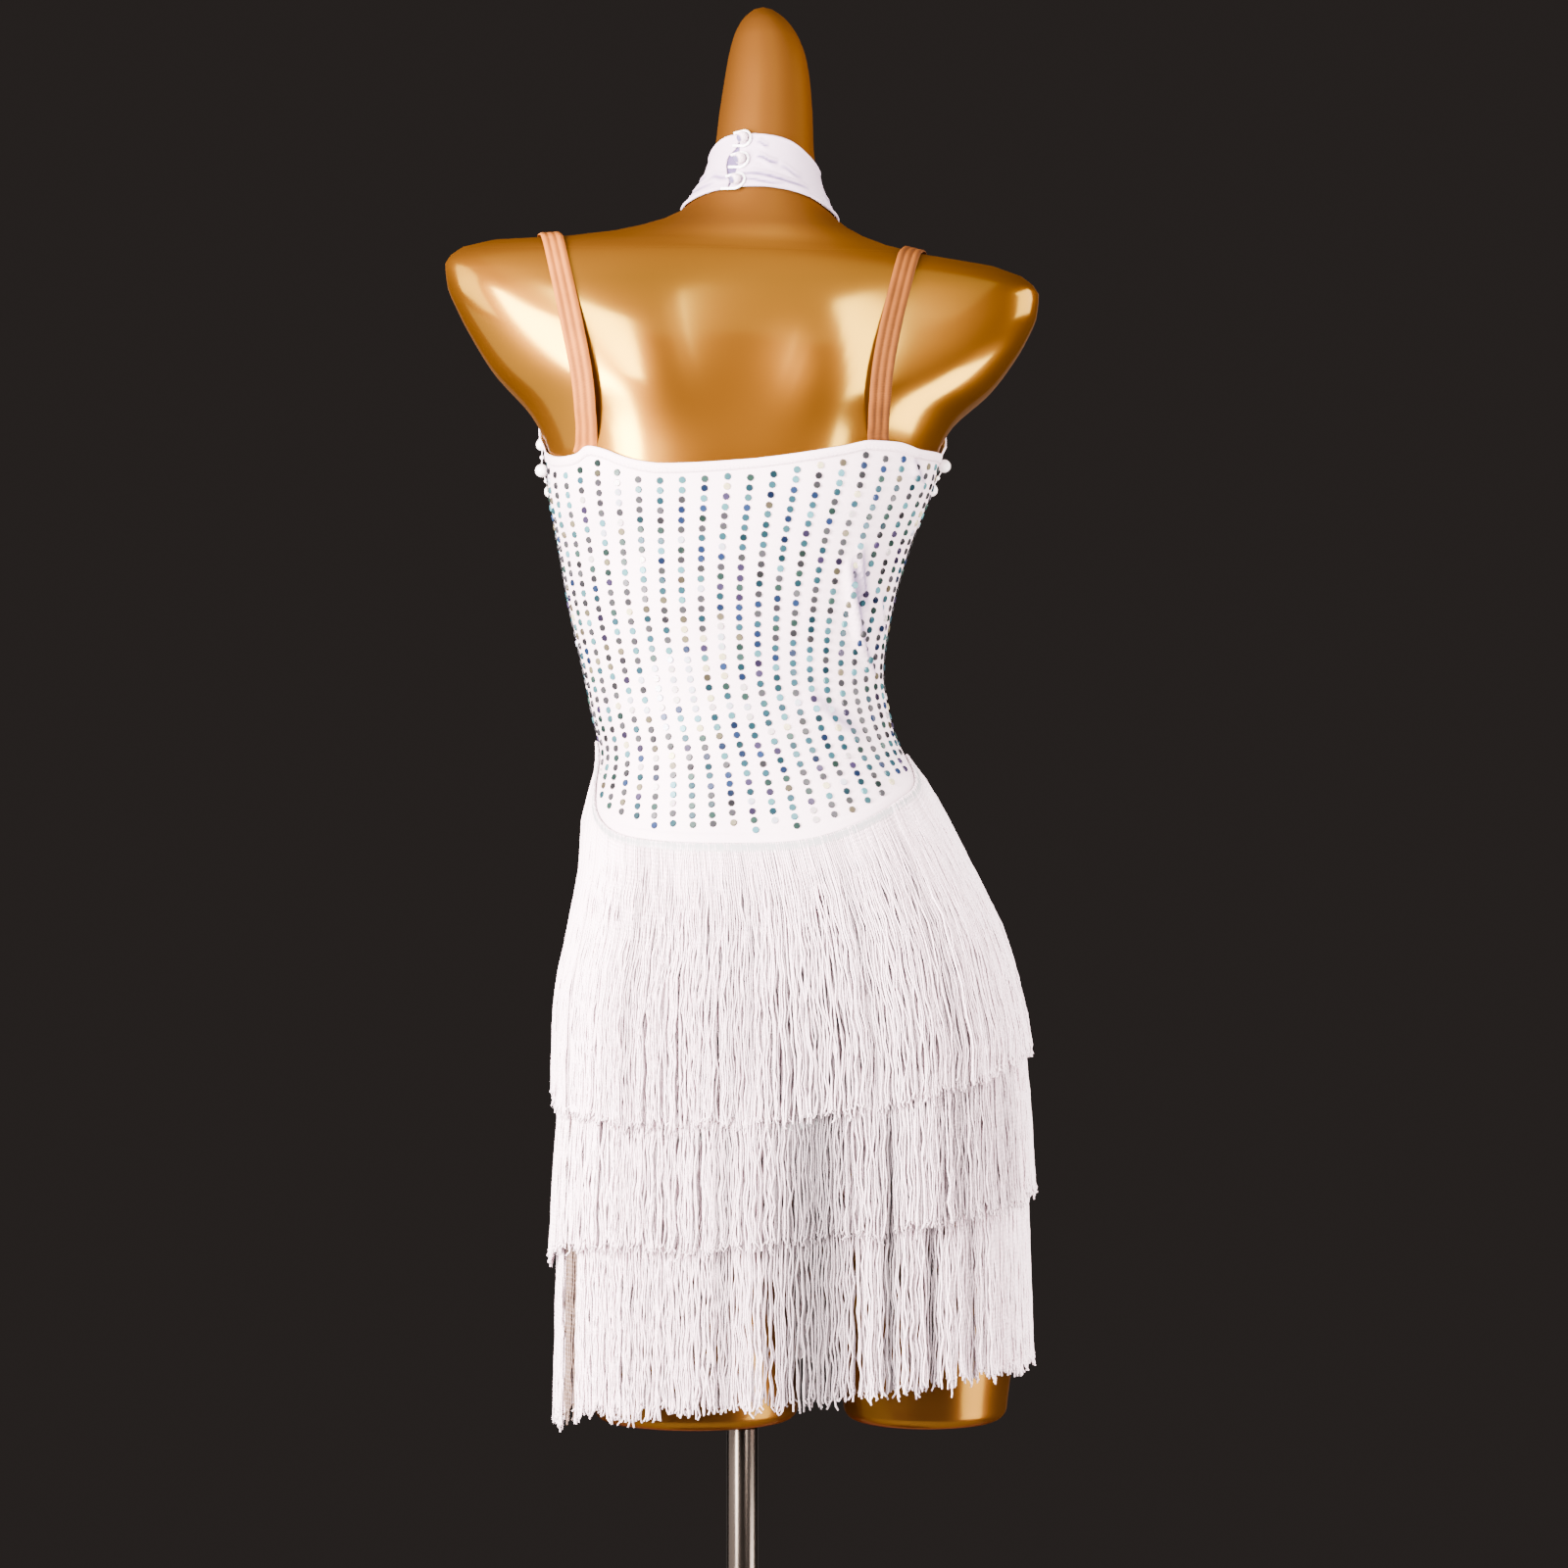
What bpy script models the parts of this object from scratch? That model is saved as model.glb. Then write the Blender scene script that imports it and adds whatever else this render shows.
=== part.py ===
"""A salsa dance dress on its display form: white halter dress with a fringed skirt in three tiers.

Blender 4.5 script: blender --background --python part.py. The sizes below are in millimetres, and the meshes
in metres. +X is the right-hand side seen from behind, +Y the wearer's front, -Y the dress's back, +Z up.
The origin is the centre of the stand's foot on the floor, under the pole.
"""

from collections import namedtuple

import bmesh
import bpy
import numpy as np
from mathutils import Matrix, Vector
from mathutils.bvhtree import BVHTree

MM = 0.001

# ---- Driving sizes, in millimetres -------------------------------------------------------------------------

# The display form, one row for each level. side is how far forward its widest point lies, tilt lowers the
# right-hand side, in degrees, and fullness is the exponent of the rounded section: 2 is an ellipse.
FormRow = namedtuple("FormRow", "height centre half_width back front side tilt fullness")
FORM = [
    FormRow(*row)
    for row in (
        (790, 37.0, 164.0, -112, 86, -12, 0.0, 2.35),
        (845, 36.0, 168.5, -127, 91, -14, 0.0, 2.30),
        (883, 33.5, 164.5, -129, 94, -16, 0.0, 2.25),
        (926, 31.5, 155.0, -122, 97, -14, 0.0, 2.20),
        (969, 25.0, 142.0, -106, 98, -8, 0.0, 2.20),
        (1012, 15.8, 131.0, -90, 97, -2, 0.0, 2.20),
        (1034, 12.5, 123.0, -83, 95, 1, 0.0, 2.20),
        (1055, 7.2, 112.8, -77, 92, 4, 0.0, 2.15),
        (1077, 0.8, 106.5, -73, 89, 5, 0.0, 2.10),
        (1099, -4.0, 106.5, -71, 87, 5, 0.0, 2.10),
        (1120, -6.8, 108.0, -72, 86, 4, 0.0, 2.15),
        (1163, -8.3, 116.0, -80, 86, 2, 0.0, 2.20),
        (1207, -6.0, 126.0, -88, 87, 0, 0.0, 2.25),
        (1250, -1.5, 138.0, -96, 88, -2, 0.2, 2.35),
        (1276, 0.5, 142.5, -98, 86, -3, 0.8, 2.40),
        (1300, 0.0, 155.0, -98, 82, -4, 1.5, 2.50),
        (1326, 0.0, 181.0, -97, 77, -6, 2.2, 2.70),
        (1347, 0.0, 196.0, -94, 70, -8, 2.7, 2.90),
        (1368, 0.0, 208.0, -89, 62, -10, 3.0, 3.00),
        (1390, 0.0, 216.0, -81, 52, -12, 3.0, 3.00),
        (1409, 0.0, 212.0, -71, 42, -13, 3.0, 2.90),
        (1420.5, 0.5, 184.0, -63, 36, -12, 3.0, 2.60),
        (1427, 3.0, 128.0, -57, 33, -11, 3.0, 2.30),
        (1436.5, 7.0, 87.0, -53, 33, -9, 3.0, 2.10),
        (1448.5, 10.5, 60.0, -48, 34, -7, 2.5, 2.00),
        (1468, 13.5, 45.0, -43, 36, -4, 2.0, 2.00),
        (1490, 15.5, 38.0, -38, 38, 0, 1.0, 2.00),
        (1531, 17.5, 33.8, -32, 39, 4, 0.0, 2.00),
        (1559, 18.3, 30.2, -27, 36, 5, 0.0, 2.00),
        (1574, 18.0, 27.0, -23, 33, 5, 0.0, 2.00),
        (1588, 16.9, 21.4, -18, 27, 5, 0.0, 2.00),
        (1598, 15.8, 14.0, -11, 20, 5, 0.0, 2.00),
        (1603, 15.2, 7.5, -4, 13, 5, 0.0, 2.00),
    )
]
FORM_TOP = 1605.5
FORM_COLUMNS = 36
CLOTH_BEND = 1.1  # how far a row of flat facets may lie from the curve it stands for, on cloth
COVERED_BEND = 0.8  # on the form under it
BARE_BEND = 2.2  # and where the form is bare
CLOTHED = (780, 1290)
WAIST = 1077
FORM_SMOOTH_ANGLE = 55
NORMAL_STEP = 0.5  # degrees and millimetres to each side of a place whose outward direction is wanted

# Smooth fullness added to the rows: each moves the surface outwards (+) or inwards (-) round one place.
Swell = namedtuple("Swell", "across height spread_across spread_up depth")
BUST = Swell(across=64, height=1236, spread_across=56, spread_up=52, depth=25)
SHOULDER_BLADE = Swell(across=88, height=1335, spread_across=46, spread_up=62, depth=5)
BLADE_RIDGE = Swell(across=56, height=1340, spread_across=27, spread_up=48, depth=4.5)
SPINE = Swell(across=0, height=1265, spread_across=26, spread_up=130, depth=-1.5)

# The two thigh stubs below the form's crotch, one row for each level.
ThighRow = namedtuple("ThighRow", "height centre half_width back front")
LEFT_THIGH = [
    ThighRow(*row)
    for row in (
        (740, -44.0, 79.0, -99, 70),
        (680, -41.0, 78.0, -91, 67),
        (620, -37.0, 77.0, -85, 65),
        (580, -34.0, 75.0, -81, 63),
        (570, -34.0, 69.0, -75, 57),
    )
]
RIGHT_THIGH = [
    ThighRow(*row)
    for row in (
        (740, 118.0, 79.0, -97, 70),
        (680, 123.0, 75.0, -89, 67),
        (620, 131.0, 67.0, -82, 64),
        (580, 134.0, 60.0, -74, 60),
        (570, 134.0, 54.0, -68, 54),
    )
]
CROTCH_ARCH = 14
CROTCH_POINTS = 7

# Cloth lies on the form: these are distances outwards from the form's surface.
SKIN_GAP = 1.3
CLOTH = 1.2
SEAM_GAP = 0.4
WALL_IN = SKIN_GAP
WALL_OUT = SKIN_GAP + CLOTH
TRIM_IN = WALL_OUT + SEAM_GAP

# Heights round the body, as (degrees, height): 0 is the right-hand side, 90 the front, 180 the left-hand side
# and 270 the back, where the line between bodice and skirt dips in a flat U with round corners.
SEAM_LINE = (
    (0, 1053), (20, 1038), (45, 1023), (90, 1012), (135, 1022), (160, 1042), (180, 1066), (189, 1036),
    (197, 1018), (205, 1007), (214, 999), (228, 993.5), (262, 990), (278, 992), (292, 999.5), (305, 1009),
    (320, 1020), (337, 1031), (347, 1041), (360, 1053),
)  # fmt: skip
BACK_TOP_LINE = (
    (180, 1276), (207, 1269), (217, 1270.5), (223, 1275), (229, 1273), (239, 1266), (251, 1262), (266, 1263.5),
    (281, 1269), (297, 1276.5), (306, 1281), (316, 1281), (332, 1277), (360, 1278),
)  # fmt: skip
COLLAR_LOW_LINE = ((0, 1450), (90, 1444), (180, 1453), (225, 1462), (270, 1466), (315, 1462), (360, 1450))
COLLAR_HIGH_LINE = (
    (0, 1483), (90, 1484), (180, 1493), (205, 1501), (235, 1505.5), (270, 1505), (300, 1501), (330, 1491), (360, 1483),
)  # fmt: skip
BINDING_WIDTH = 7.0
BINDING = 0.9

# The front panel's armhole edges: how far each lies from the body's centre line at each height.
EdgeRow = namedtuple("EdgeRow", "height reach")
FRONT_EDGE = [
    EdgeRow(*row)
    for row in (
        (1276, 144), (1284, 146), (1296, 148), (1308, 144), (1322, 133), (1338, 120), (1370, 100), (1400, 84),
        (1425, 70), (1446, 58),
    )
]  # fmt: skip
FRONT_UNDERARM = 1276
FRONT_HIGH_ROWS = 9
FRONT_ROW_CROWDING = 1.6
Bridge = namedtuple("Bridge", "height spread_up depth")
FRONT_BRIDGE = Bridge(height=1372, spread_up=72, depth=3.5)  # where the panel stands off the hollow chest

COLLAR_OPENING = 243.0  # degrees round the neck, where its ends meet
COLLAR_OPENING_GAP = 2.5
COLLAR_COLUMNS = 30
COLLAR_ROWS = 6
COLLAR_WIDTH = 40.0
COLLAR_GAP = 1.2
NECK_RADIUS = 45.0
BUTTON_RADIUS = 4.2
BUTTON_SHARES = (0.1, 0.5, 0.9)  # of the collar's width
LOOP_CORD_RADIUS = 1.0
LOOP_TAIL = 1.7  # of the loop's radius

# Shoulder straps: elastic, from the back's low peaks over the shoulders to the front panel's edges.
# The front ends are cut along the armhole's slant and lie under its edge.
StrapPlan = namedtuple("StrapPlan", "name back_across back_height top_across front_across front_height front_slant")
STRAPS = (
    StrapPlan("strap_left", -109.0, 1277, -142.0, -85.0, 1361.0, 13.5),
    StrapPlan("strap_right", 97.0, 1283, 127.0, 85.0, 1359.5, 16.5),
)
STRAP_WIDTH = 15.5
STRAP_THICK = 1.3
STRAP_POINTS = 18
STRAP_GAP = 2.2
STRAP_PIVOT = (-10, 1300)  # depth and height inside the form that the strap's rays aim at
RAY_START = 400  # how far outside it they start
RAY_TURNS = np.arange(195, -16, -3)  # their directions in degrees, from behind over the shoulder to the front
STRAP_SWAY = 1.6  # exponent of the strap's way inwards from its top to its ends

# Pearls along the front panel's armhole edges, from the underarm up.
PEARL_RADIUS = 5.0
PEARL_PITCH = 13.6
PEARL_SHAPE = (5.0, 3.8, 1.4, 3.8)  # radii of the string at quarters of the pitch
PEARL_COUNT = 15
PEARL_DROP = 8.0  # of the string below the edge
PEARL_INSET = 5.0  # and within it, reached a short way above the underarm
PEARL_DRAWN_IN = 8  # one over the share of the edge that takes
PEARL_PATH_POINTS = 90

# The skirt's base, fitted to the hips and hanging straight below them, and the three tiers sewn to it.
HANG_HEIGHT = 845
HANG_LEAN = 0.006
SKIRT_CENTRE = 37
SKIRT_TILT = 0.128  # rise of the tiers towards the right-hand side
SKIRT_HEM = 782
LockRow = namedtuple("LockRow", "share clearance")
Lift = namedtuple("Lift", "angle spread rise")  # a stretch of a tier's end that is higher
Tier = namedtuple("Tier", "name root end side_rise lift rows")
TIERS = (
    Tier("fringe_top", None, 797, 22, Lift(187, 7, 14), ((0.0, 3.4), (0.16, 4.7), (0.34, 6.8), (0.56, 8.8), (0.78, 10.0), (1.0, 10.4))),
    Tier("fringe_middle", 915, 712, 0, Lift(216, 26, 9), ((0.0, 3.2), (0.2, 4.7), (0.45, 6.3), (1.0, 6.6))),
    Tier("fringe_bottom", 797, 592, 0, Lift(226, 22, 7), ((0.0, 3.0), (1.0, 3.0))),
)
LOCKS_PER_TIER = 48
LOCK_SHARE = 0.86
LOCK_THICK = 2.2
LOCK_RAGGED = 4.0
RAGGED_STEP = 2.4  # radians from lock to lock
STRIP_DROP = 1.0  # from the line between bodice and skirt to the top tier's heading strip
STRIP_HEIGHT = 5.0

# The stand: a round tube from under the left thigh stub to a heavy round foot.
POLE_RADIUS = 11.5
POLE_SIDES = 24
SEAT_GAP = 0.3
FOOT_RADIUS = 170
FOOT_EDGE = 8
FOOT_CROWN = 12
FOOT_SLOPE = 0.55  # of the foot's radius, where its gentle slope is a third of the way down
HUB_RADIUS = 22
HUB_HEIGHT = 46
HUB_ROUND = 3
BORE_FLOOR = 6
BORE_GAP = 0.4
FOOT_SIDES = 30

# ---- Materials -----------------------------------------------------------------------------------------------

Finish = namedtuple("Finish", "colour roughness metallic")
FINISHES = {
    "gold_lacquer": Finish((0.52, 0.28, 0.06), 0.22, 0.75),
    "white_stretch": Finish((0.86, 0.83, 0.85), 0.55, 0.0),
    "white_fringe": Finish((0.88, 0.85, 0.86), 0.50, 0.0),
    "skin_elastic": Finish((0.80, 0.52, 0.38), 0.60, 0.0),
    "pearl": Finish((0.90, 0.88, 0.86), 0.18, 0.0),
    "chrome": Finish((0.80, 0.80, 0.80), 0.12, 1.0),
}


def material(name):
    """The named finish as a Principled material, made on first use."""
    made = bpy.data.materials.get(name)
    if made is None:
        finish = FINISHES[name]
        made = bpy.data.materials.new(name)
        made.use_nodes = True
        shader = made.node_tree.nodes["Principled BSDF"]
        shader.inputs["Base Color"].default_value = (*finish.colour, 1.0)
        shader.inputs["Roughness"].default_value = finish.roughness
        shader.inputs["Metallic"].default_value = finish.metallic
    return made


# ---- Mesh helpers --------------------------------------------------------------------------------------------


def place_object(name, data, finish):
    """An object in the scene with the named finish."""
    data.materials.append(material(finish))
    made = bpy.data.objects.new(name, data)
    bpy.context.scene.collection.objects.link(made)
    return made


def solid(name, points, faces, finish, smooth_angle=40):
    """One closed body from points in millimetres and faces, turned to face outwards."""
    mesh = bpy.data.meshes.new(name)
    mesh.from_pydata([tuple(point) for point in np.asarray(points) * MM], [], faces)
    body = bmesh.new()
    body.from_mesh(mesh)
    bmesh.ops.recalc_face_normals(body, faces=body.faces)
    bmesh.ops.triangulate(body, faces=body.faces)
    if body.calc_volume(signed=True) < 0:
        bmesh.ops.reverse_faces(body, faces=body.faces)
    body.to_mesh(mesh)
    body.free()
    mesh.shade_smooth()
    mesh.set_sharp_from_angle(angle=np.radians(smooth_angle))
    return place_object(name, mesh, finish)


def grid_faces(columns, rows, start, wrap=False):
    """Faces of a grid of points stored row by row from index start; wrap joins its last column to its first."""
    faces = []
    for row in range(rows - 1):
        low, high = start + row * columns, start + (row + 1) * columns
        for column in range(columns if wrap else columns - 1):
            beside = (column + 1) % columns
            faces.append((low + column, low + beside, high + beside, high + column))
    return faces


def wall(name, inner, outer, finish):
    """A cloth wall between two grids of points, each an array of rows by columns by three."""
    rows, columns = inner.shape[:2]
    count = rows * columns
    faces = grid_faces(columns, rows, 0) + [face[::-1] for face in grid_faces(columns, rows, count)]
    rim = list(range(columns))
    rim += [row * columns + columns - 1 for row in range(1, rows)]
    rim += [(rows - 1) * columns + column for column in range(columns - 2, -1, -1)]
    rim += [row * columns for row in range(rows - 2, 0, -1)]
    for a, b in zip(rim, rim[1:] + rim[:1]):
        faces.append((b, a, a + count, b + count))
    return solid(name, np.concatenate([outer.reshape(-1, 3), inner.reshape(-1, 3)]), faces, finish)


def turned(name, profile, sides, finish, smooth_angle=40):
    """A body turned about the upright axis, from (radius, height) pairs that start and end on the axis."""
    turns = np.arange(sides) * 2 * np.pi / sides
    points = [(0, 0, profile[0][1])]
    for radius, height in profile[1:-1]:
        points += [(radius * np.cos(turn), radius * np.sin(turn), height) for turn in turns]
    points.append((0, 0, profile[-1][1]))
    last = 1 + (len(profile) - 3) * sides
    faces = grid_faces(sides, len(profile) - 2, 1, wrap=True)
    faces += [(0, 1 + (i + 1) % sides, 1 + i) for i in range(sides)]
    faces += [(last + i, last + (i + 1) % sides, len(points) - 1) for i in range(sides)]
    return solid(name, points, faces, finish, smooth_angle)


def cord(name, route, radii, finish, resolution):
    """A round cord along a route, as a bevelled curve whose thickness follows the radii, with filled caps."""
    curve = bpy.data.curves.new(name, "CURVE")
    curve.dimensions = "3D"
    curve.bevel_depth = max(radii) * MM
    curve.bevel_resolution = resolution
    curve.use_fill_caps = True
    spline = curve.splines.new("POLY")
    spline.points.add(len(route) - 1)
    for point, place, radius in zip(spline.points, route, radii):
        point.co = (*(np.asarray(place) * MM), 1)
        point.radius = radius / max(radii)
    return place_object(name, curve, finish)


# ---- Curves through the tables ---------------------------------------------------------------------------------


def smooth_line(table, where):
    """A smooth curve through a table of (position, value) pairs, read at the given positions. It has no
    overshoot: it is level at each highest and lowest value."""
    position, value = np.array(table, float).T
    secant = np.diff(value) / np.diff(position)
    slope = np.concatenate([secant[:1], (secant[:-1] + secant[1:]) / 2, secant[-1:]])
    slope[1:-1][secant[:-1] * secant[1:] <= 0] = 0.0
    where = np.asarray(where, float)
    i = np.clip(np.searchsorted(position, where) - 1, 0, len(position) - 2)
    width = position[i + 1] - position[i]
    t = np.clip((where - position[i]) / width, 0, 1)
    start = (1 + 2 * t) * (1 - t) ** 2 * value[i] + t * (1 - t) ** 2 * width * slope[i]
    return start + t**2 * (3 - 2 * t) * value[i + 1] + t**2 * (t - 1) * width * slope[i + 1]


def round_line(table, angle):
    """The same kind of curve round the body, with the angle in degrees, closed at 360."""
    around = [(a - 360, v) for a, v in table[:-1]] + list(table) + [(a + 360, v) for a, v in table[1:]]
    return smooth_line(around, np.asarray(angle, float) % 360)


def form_value(column, height):
    """One column of the form's table, read smoothly at the given heights."""
    index = FormRow._fields.index(column)
    return smooth_line([(row.height, row[index]) for row in FORM], height)


# ---- The form's surface ----------------------------------------------------------------------------------------


def swelling(swell, across, height):
    """How far one swell moves the surface at the given places."""
    sideways = sum(np.exp(-(((across + side) / swell.spread_across) ** 2)) for side in (swell.across, -swell.across))
    return swell.depth * sideways * np.exp(-(((height - swell.height) / swell.spread_up) ** 2))


def rounded(cosine, power):
    """A signed power, which squares off a circle's cosine or sine."""
    return np.sign(cosine) * np.abs(cosine) ** power


def form_point(angle, height):
    """Points of the form's surface, by degrees round the body and height. Below HANG_HEIGHT they fall straight
    down from the hips, which is where cloth hangs."""
    angle, height = np.broadcast_arrays(np.asarray(angle, float), np.asarray(height, float))
    return section_point(angle, np.maximum(height, HANG_HEIGHT), height)


def section_point(angle, level, height):
    """Points of the form's section at one level, drawn at another height."""
    cosine, sine = np.cos(np.radians(angle)), np.sin(np.radians(angle))
    power = 2 / form_value("fullness", level)
    across = form_value("half_width", level) * rounded(cosine, power)
    side, front, back = (form_value(column, level) for column in ("side", "front", "back"))
    depth = side + np.where(sine > 0, front - side, side - back) * rounded(sine, power)
    depth = depth + np.clip(sine, 0, 1) * swelling(BUST, across, level)
    for swell in (SHOULDER_BLADE, BLADE_RIDGE, SPINE):
        depth = depth + np.clip(sine, -1, 0) * swelling(swell, across, level)
    tilt = np.radians(form_value("tilt", level))
    middle = form_value("centre", level) + (level - height) * HANG_LEAN
    return np.stack([middle + across * np.cos(tilt), depth, height - across * np.sin(tilt)], -1)


def lifted(angle, height, clearance):
    """Points that stand off the form's surface by the given clearance, square to it."""
    angle, height = np.broadcast_arrays(np.asarray(angle, float), np.asarray(height, float))
    along = form_point(angle + NORMAL_STEP, height) - form_point(angle - NORMAL_STEP, height)
    up = form_point(angle, height + NORMAL_STEP) - form_point(angle, height - NORMAL_STEP)
    normal = np.cross(along, up)
    normal /= np.linalg.norm(normal, axis=-1, keepdims=True)
    return form_point(angle, height) + normal * np.asarray(clearance, float)[..., None]


def thigh_ring(row, angles):
    """One level of a thigh stub, at the given degrees round it."""
    cosine, sine = np.cos(np.radians(angles)), np.sin(np.radians(angles))
    middle, reach = (row.back + row.front) / 2, (row.front - row.back) / 2
    across = row.centre + row.half_width * cosine
    return np.stack([across, middle + reach * sine, np.full_like(across, row.height)], -1)


def bent_steps(steps, row_of, allowed):
    """Steps with more between them where the surface bends. row_of gives the row of points at a step, and
    allowed how far the straight line between two rows may lie from the row half-way."""
    steps = list(steps)
    i = 0
    while i < len(steps) - 1:
        middle = (steps[i] + steps[i + 1]) / 2
        bend = row_of(middle) - (row_of(steps[i]) + row_of(steps[i + 1])) / 2
        if np.linalg.norm(bend, axis=1).max() > allowed(middle):
            steps.insert(i + 1, middle)
        else:
            i += 1
    return steps


def display_form():
    """The torso: rings from crotch to neck block, closed at the top, parted into two thigh stubs below."""
    angles = np.arange(FORM_COLUMNS) * 360 / FORM_COLUMNS

    def ring(level):
        return section_point(angles, float(level), float(level))

    def allowed(level):
        return COVERED_BEND if CLOTHED[0] < level < CLOTHED[1] else BARE_BEND

    levels = bent_steps([row.height for row in FORM[::2]], ring, allowed)
    points = [ring(level) for level in levels]
    faces = grid_faces(FORM_COLUMNS, len(levels), 0, wrap=True)
    last, crown = FORM_COLUMNS * (len(levels) - 1), FORM_COLUMNS * len(levels)
    points.append(np.array([[FORM[-1].centre, FORM[-1].side, FORM_TOP]]))
    faces += [(last + i, last + (i + 1) % FORM_COLUMNS, crown) for i in range(FORM_COLUMNS)]
    count = crown + 1

    quarter = FORM_COLUMNS // 4
    front, back = points[0][quarter], points[0][3 * quarter]
    share = np.linspace(0, 1, CROTCH_POINTS + 2)[1:-1]
    crotch = back + (front - back) * share[:, None]
    crotch[:, 2] += CROTCH_ARCH * np.sin(np.pi * share)
    points.append(crotch)
    bridge = list(range(count, count + CROTCH_POINTS))
    count += CROTCH_POINTS

    outer = np.linspace(90, 270, 2 * quarter + 1)
    inner = np.linspace(270, 450, CROTCH_POINTS + 2)[1:-1]
    left = list(range(quarter, 3 * quarter + 1)) + bridge
    right = [i % FORM_COLUMNS for i in range(3 * quarter, FORM_COLUMNS + quarter + 1)] + bridge[::-1]
    for loop, rows, turn in ((left, LEFT_THIGH, 0), (right, RIGHT_THIGH, 180)):
        ring_angles = np.concatenate([outer, inner]) + turn
        for row in rows:
            points.append(thigh_ring(row, ring_angles))
            below = list(range(count, count + len(loop)))
            for i in range(len(loop)):
                beside = (i + 1) % len(loop)
                faces.append((below[i], below[beside], loop[beside], loop[i]))
            loop = below
            count += len(below)
        points.append(np.array([[rows[-1].centre, (rows[-1].back + rows[-1].front) / 2, rows[-1].height]]))
        faces += [(loop[(i + 1) % len(loop)], loop[i], count) for i in range(len(loop))]
        count += 1
    return solid("display_form", np.concatenate(points), faces, "gold_lacquer", FORM_SMOOTH_ANGLE)


# ---- The bodice -------------------------------------------------------------------------------------------------


def column_angles(start, end, reach):
    """The form's own columns between two angles, with the first and last drawn in by the seam's gap. reach is
    how far from the axis that seam lies."""
    inset = np.degrees(SEAM_GAP / 2 / reach)
    pitch = 360 / FORM_COLUMNS
    angle = np.arange(start, end + pitch / 2, pitch)
    angle[0] += inset
    angle[-1] -= inset
    return angle


def bent_heights(angle, low, high):
    """Heights of a panel's rows between its lower and upper edges, closer where the form bends."""
    shares = bent_steps(
        np.linspace(0, 1, 5), lambda share: form_point(angle, low + (high - low) * share), lambda share: CLOTH_BEND
    )
    return low + (high - low) * np.array(shares)[:, None]


def bodice_back():
    """The back panel, from side seam to side seam and from the skirt to its top edge, with its bound edge."""
    angle = column_angles(180, 360, form_value("half_width", WAIST))
    low, high = round_line(SEAM_LINE, angle) + SEAM_GAP / 2, smooth_line(BACK_TOP_LINE, angle)
    height = np.concatenate([bent_heights(angle, low, high - BINDING_WIDTH), high[None]])
    wall("bodice_back", lifted(angle, height, WALL_IN), lifted(angle, height, WALL_OUT), "white_stretch")
    bound = height[-2:]
    wall("back_binding", lifted(angle, bound, TRIM_IN), lifted(angle, bound, TRIM_IN + BINDING), "white_stretch")


def edge_angle(height, reach):
    """Degrees from the side to the place on the front that lies at the given reach from the centre line."""
    across = np.clip(reach / form_value("half_width", height), 0, 1)
    return np.degrees(np.arccos(across ** (form_value("fullness", height) / 2)))


def front_row(share, angle, inset=0.0):
    """Angles and heights of the front panel at one share of the way from the underarm to the collar. angle
    runs over the whole front, and inset draws the row's ends in from the armhole edges."""
    level = FRONT_UNDERARM + (FRONT_EDGE[-1].height - FRONT_UNDERARM) * share
    half = 90 - edge_angle(level, smooth_line(FRONT_EDGE, level) - inset)
    narrowed = 90 + (angle - 90) / 90 * half
    top = round_line(COLLAR_LOW_LINE, narrowed) - SEAM_GAP
    return narrowed, FRONT_UNDERARM + (top - FRONT_UNDERARM) * share


def front_grid():
    """Angles and heights of the front panel, row by row from the skirt to the collar."""
    angle = column_angles(0, 180, form_value("half_width", WAIST))
    low = round_line(SEAM_LINE, angle) + SEAM_GAP / 2
    rows = [(angle, height) for height in bent_heights(angle, low, np.full_like(low, FRONT_UNDERARM))]
    for share in np.linspace(0, 1, FRONT_HIGH_ROWS)[1:] ** FRONT_ROW_CROWDING:
        rows.append(front_row(share, angle))
    return np.array([row[0] for row in rows]), np.array([row[1] for row in rows])


def front_off_form(height):
    """How much further the front panel stands off the form, where it is drawn tight over the hollow chest."""
    return FRONT_BRIDGE.depth * np.exp(-(((height - FRONT_BRIDGE.height) / FRONT_BRIDGE.spread_up) ** 2))


def bodice_front():
    """The front panel: full over the bust, and a halter that narrows to the collar."""
    angle, height = front_grid()
    bridge = front_off_form(height)
    inner, outer = lifted(angle, height, WALL_IN + bridge), lifted(angle, height, WALL_OUT + bridge)
    wall("bodice_front", inner, outer, "white_stretch")


def collar_point(angle, share, clearance):
    """A place on the collar, which lies close to the neck from its lower edge to its upper one."""
    low, high = round_line(COLLAR_LOW_LINE, angle), round_line(COLLAR_HIGH_LINE, angle)
    return lifted(angle, low + (high - low) * share, clearance)


def collar():
    """The neck band, open at the back beside the neck's middle, where its ends meet."""
    half_gap = np.degrees(COLLAR_OPENING_GAP / 2 / NECK_RADIUS)
    angle = np.linspace(COLLAR_OPENING + half_gap, COLLAR_OPENING + 360 - half_gap, COLLAR_COLUMNS)
    share = np.linspace(0, 1, COLLAR_ROWS)
    inner = np.stack([collar_point(angle, part, COLLAR_GAP) for part in share])
    outer = np.stack([collar_point(angle, part, COLLAR_GAP + CLOTH) for part in share])
    wall("collar", inner, outer, "white_stretch")


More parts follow.
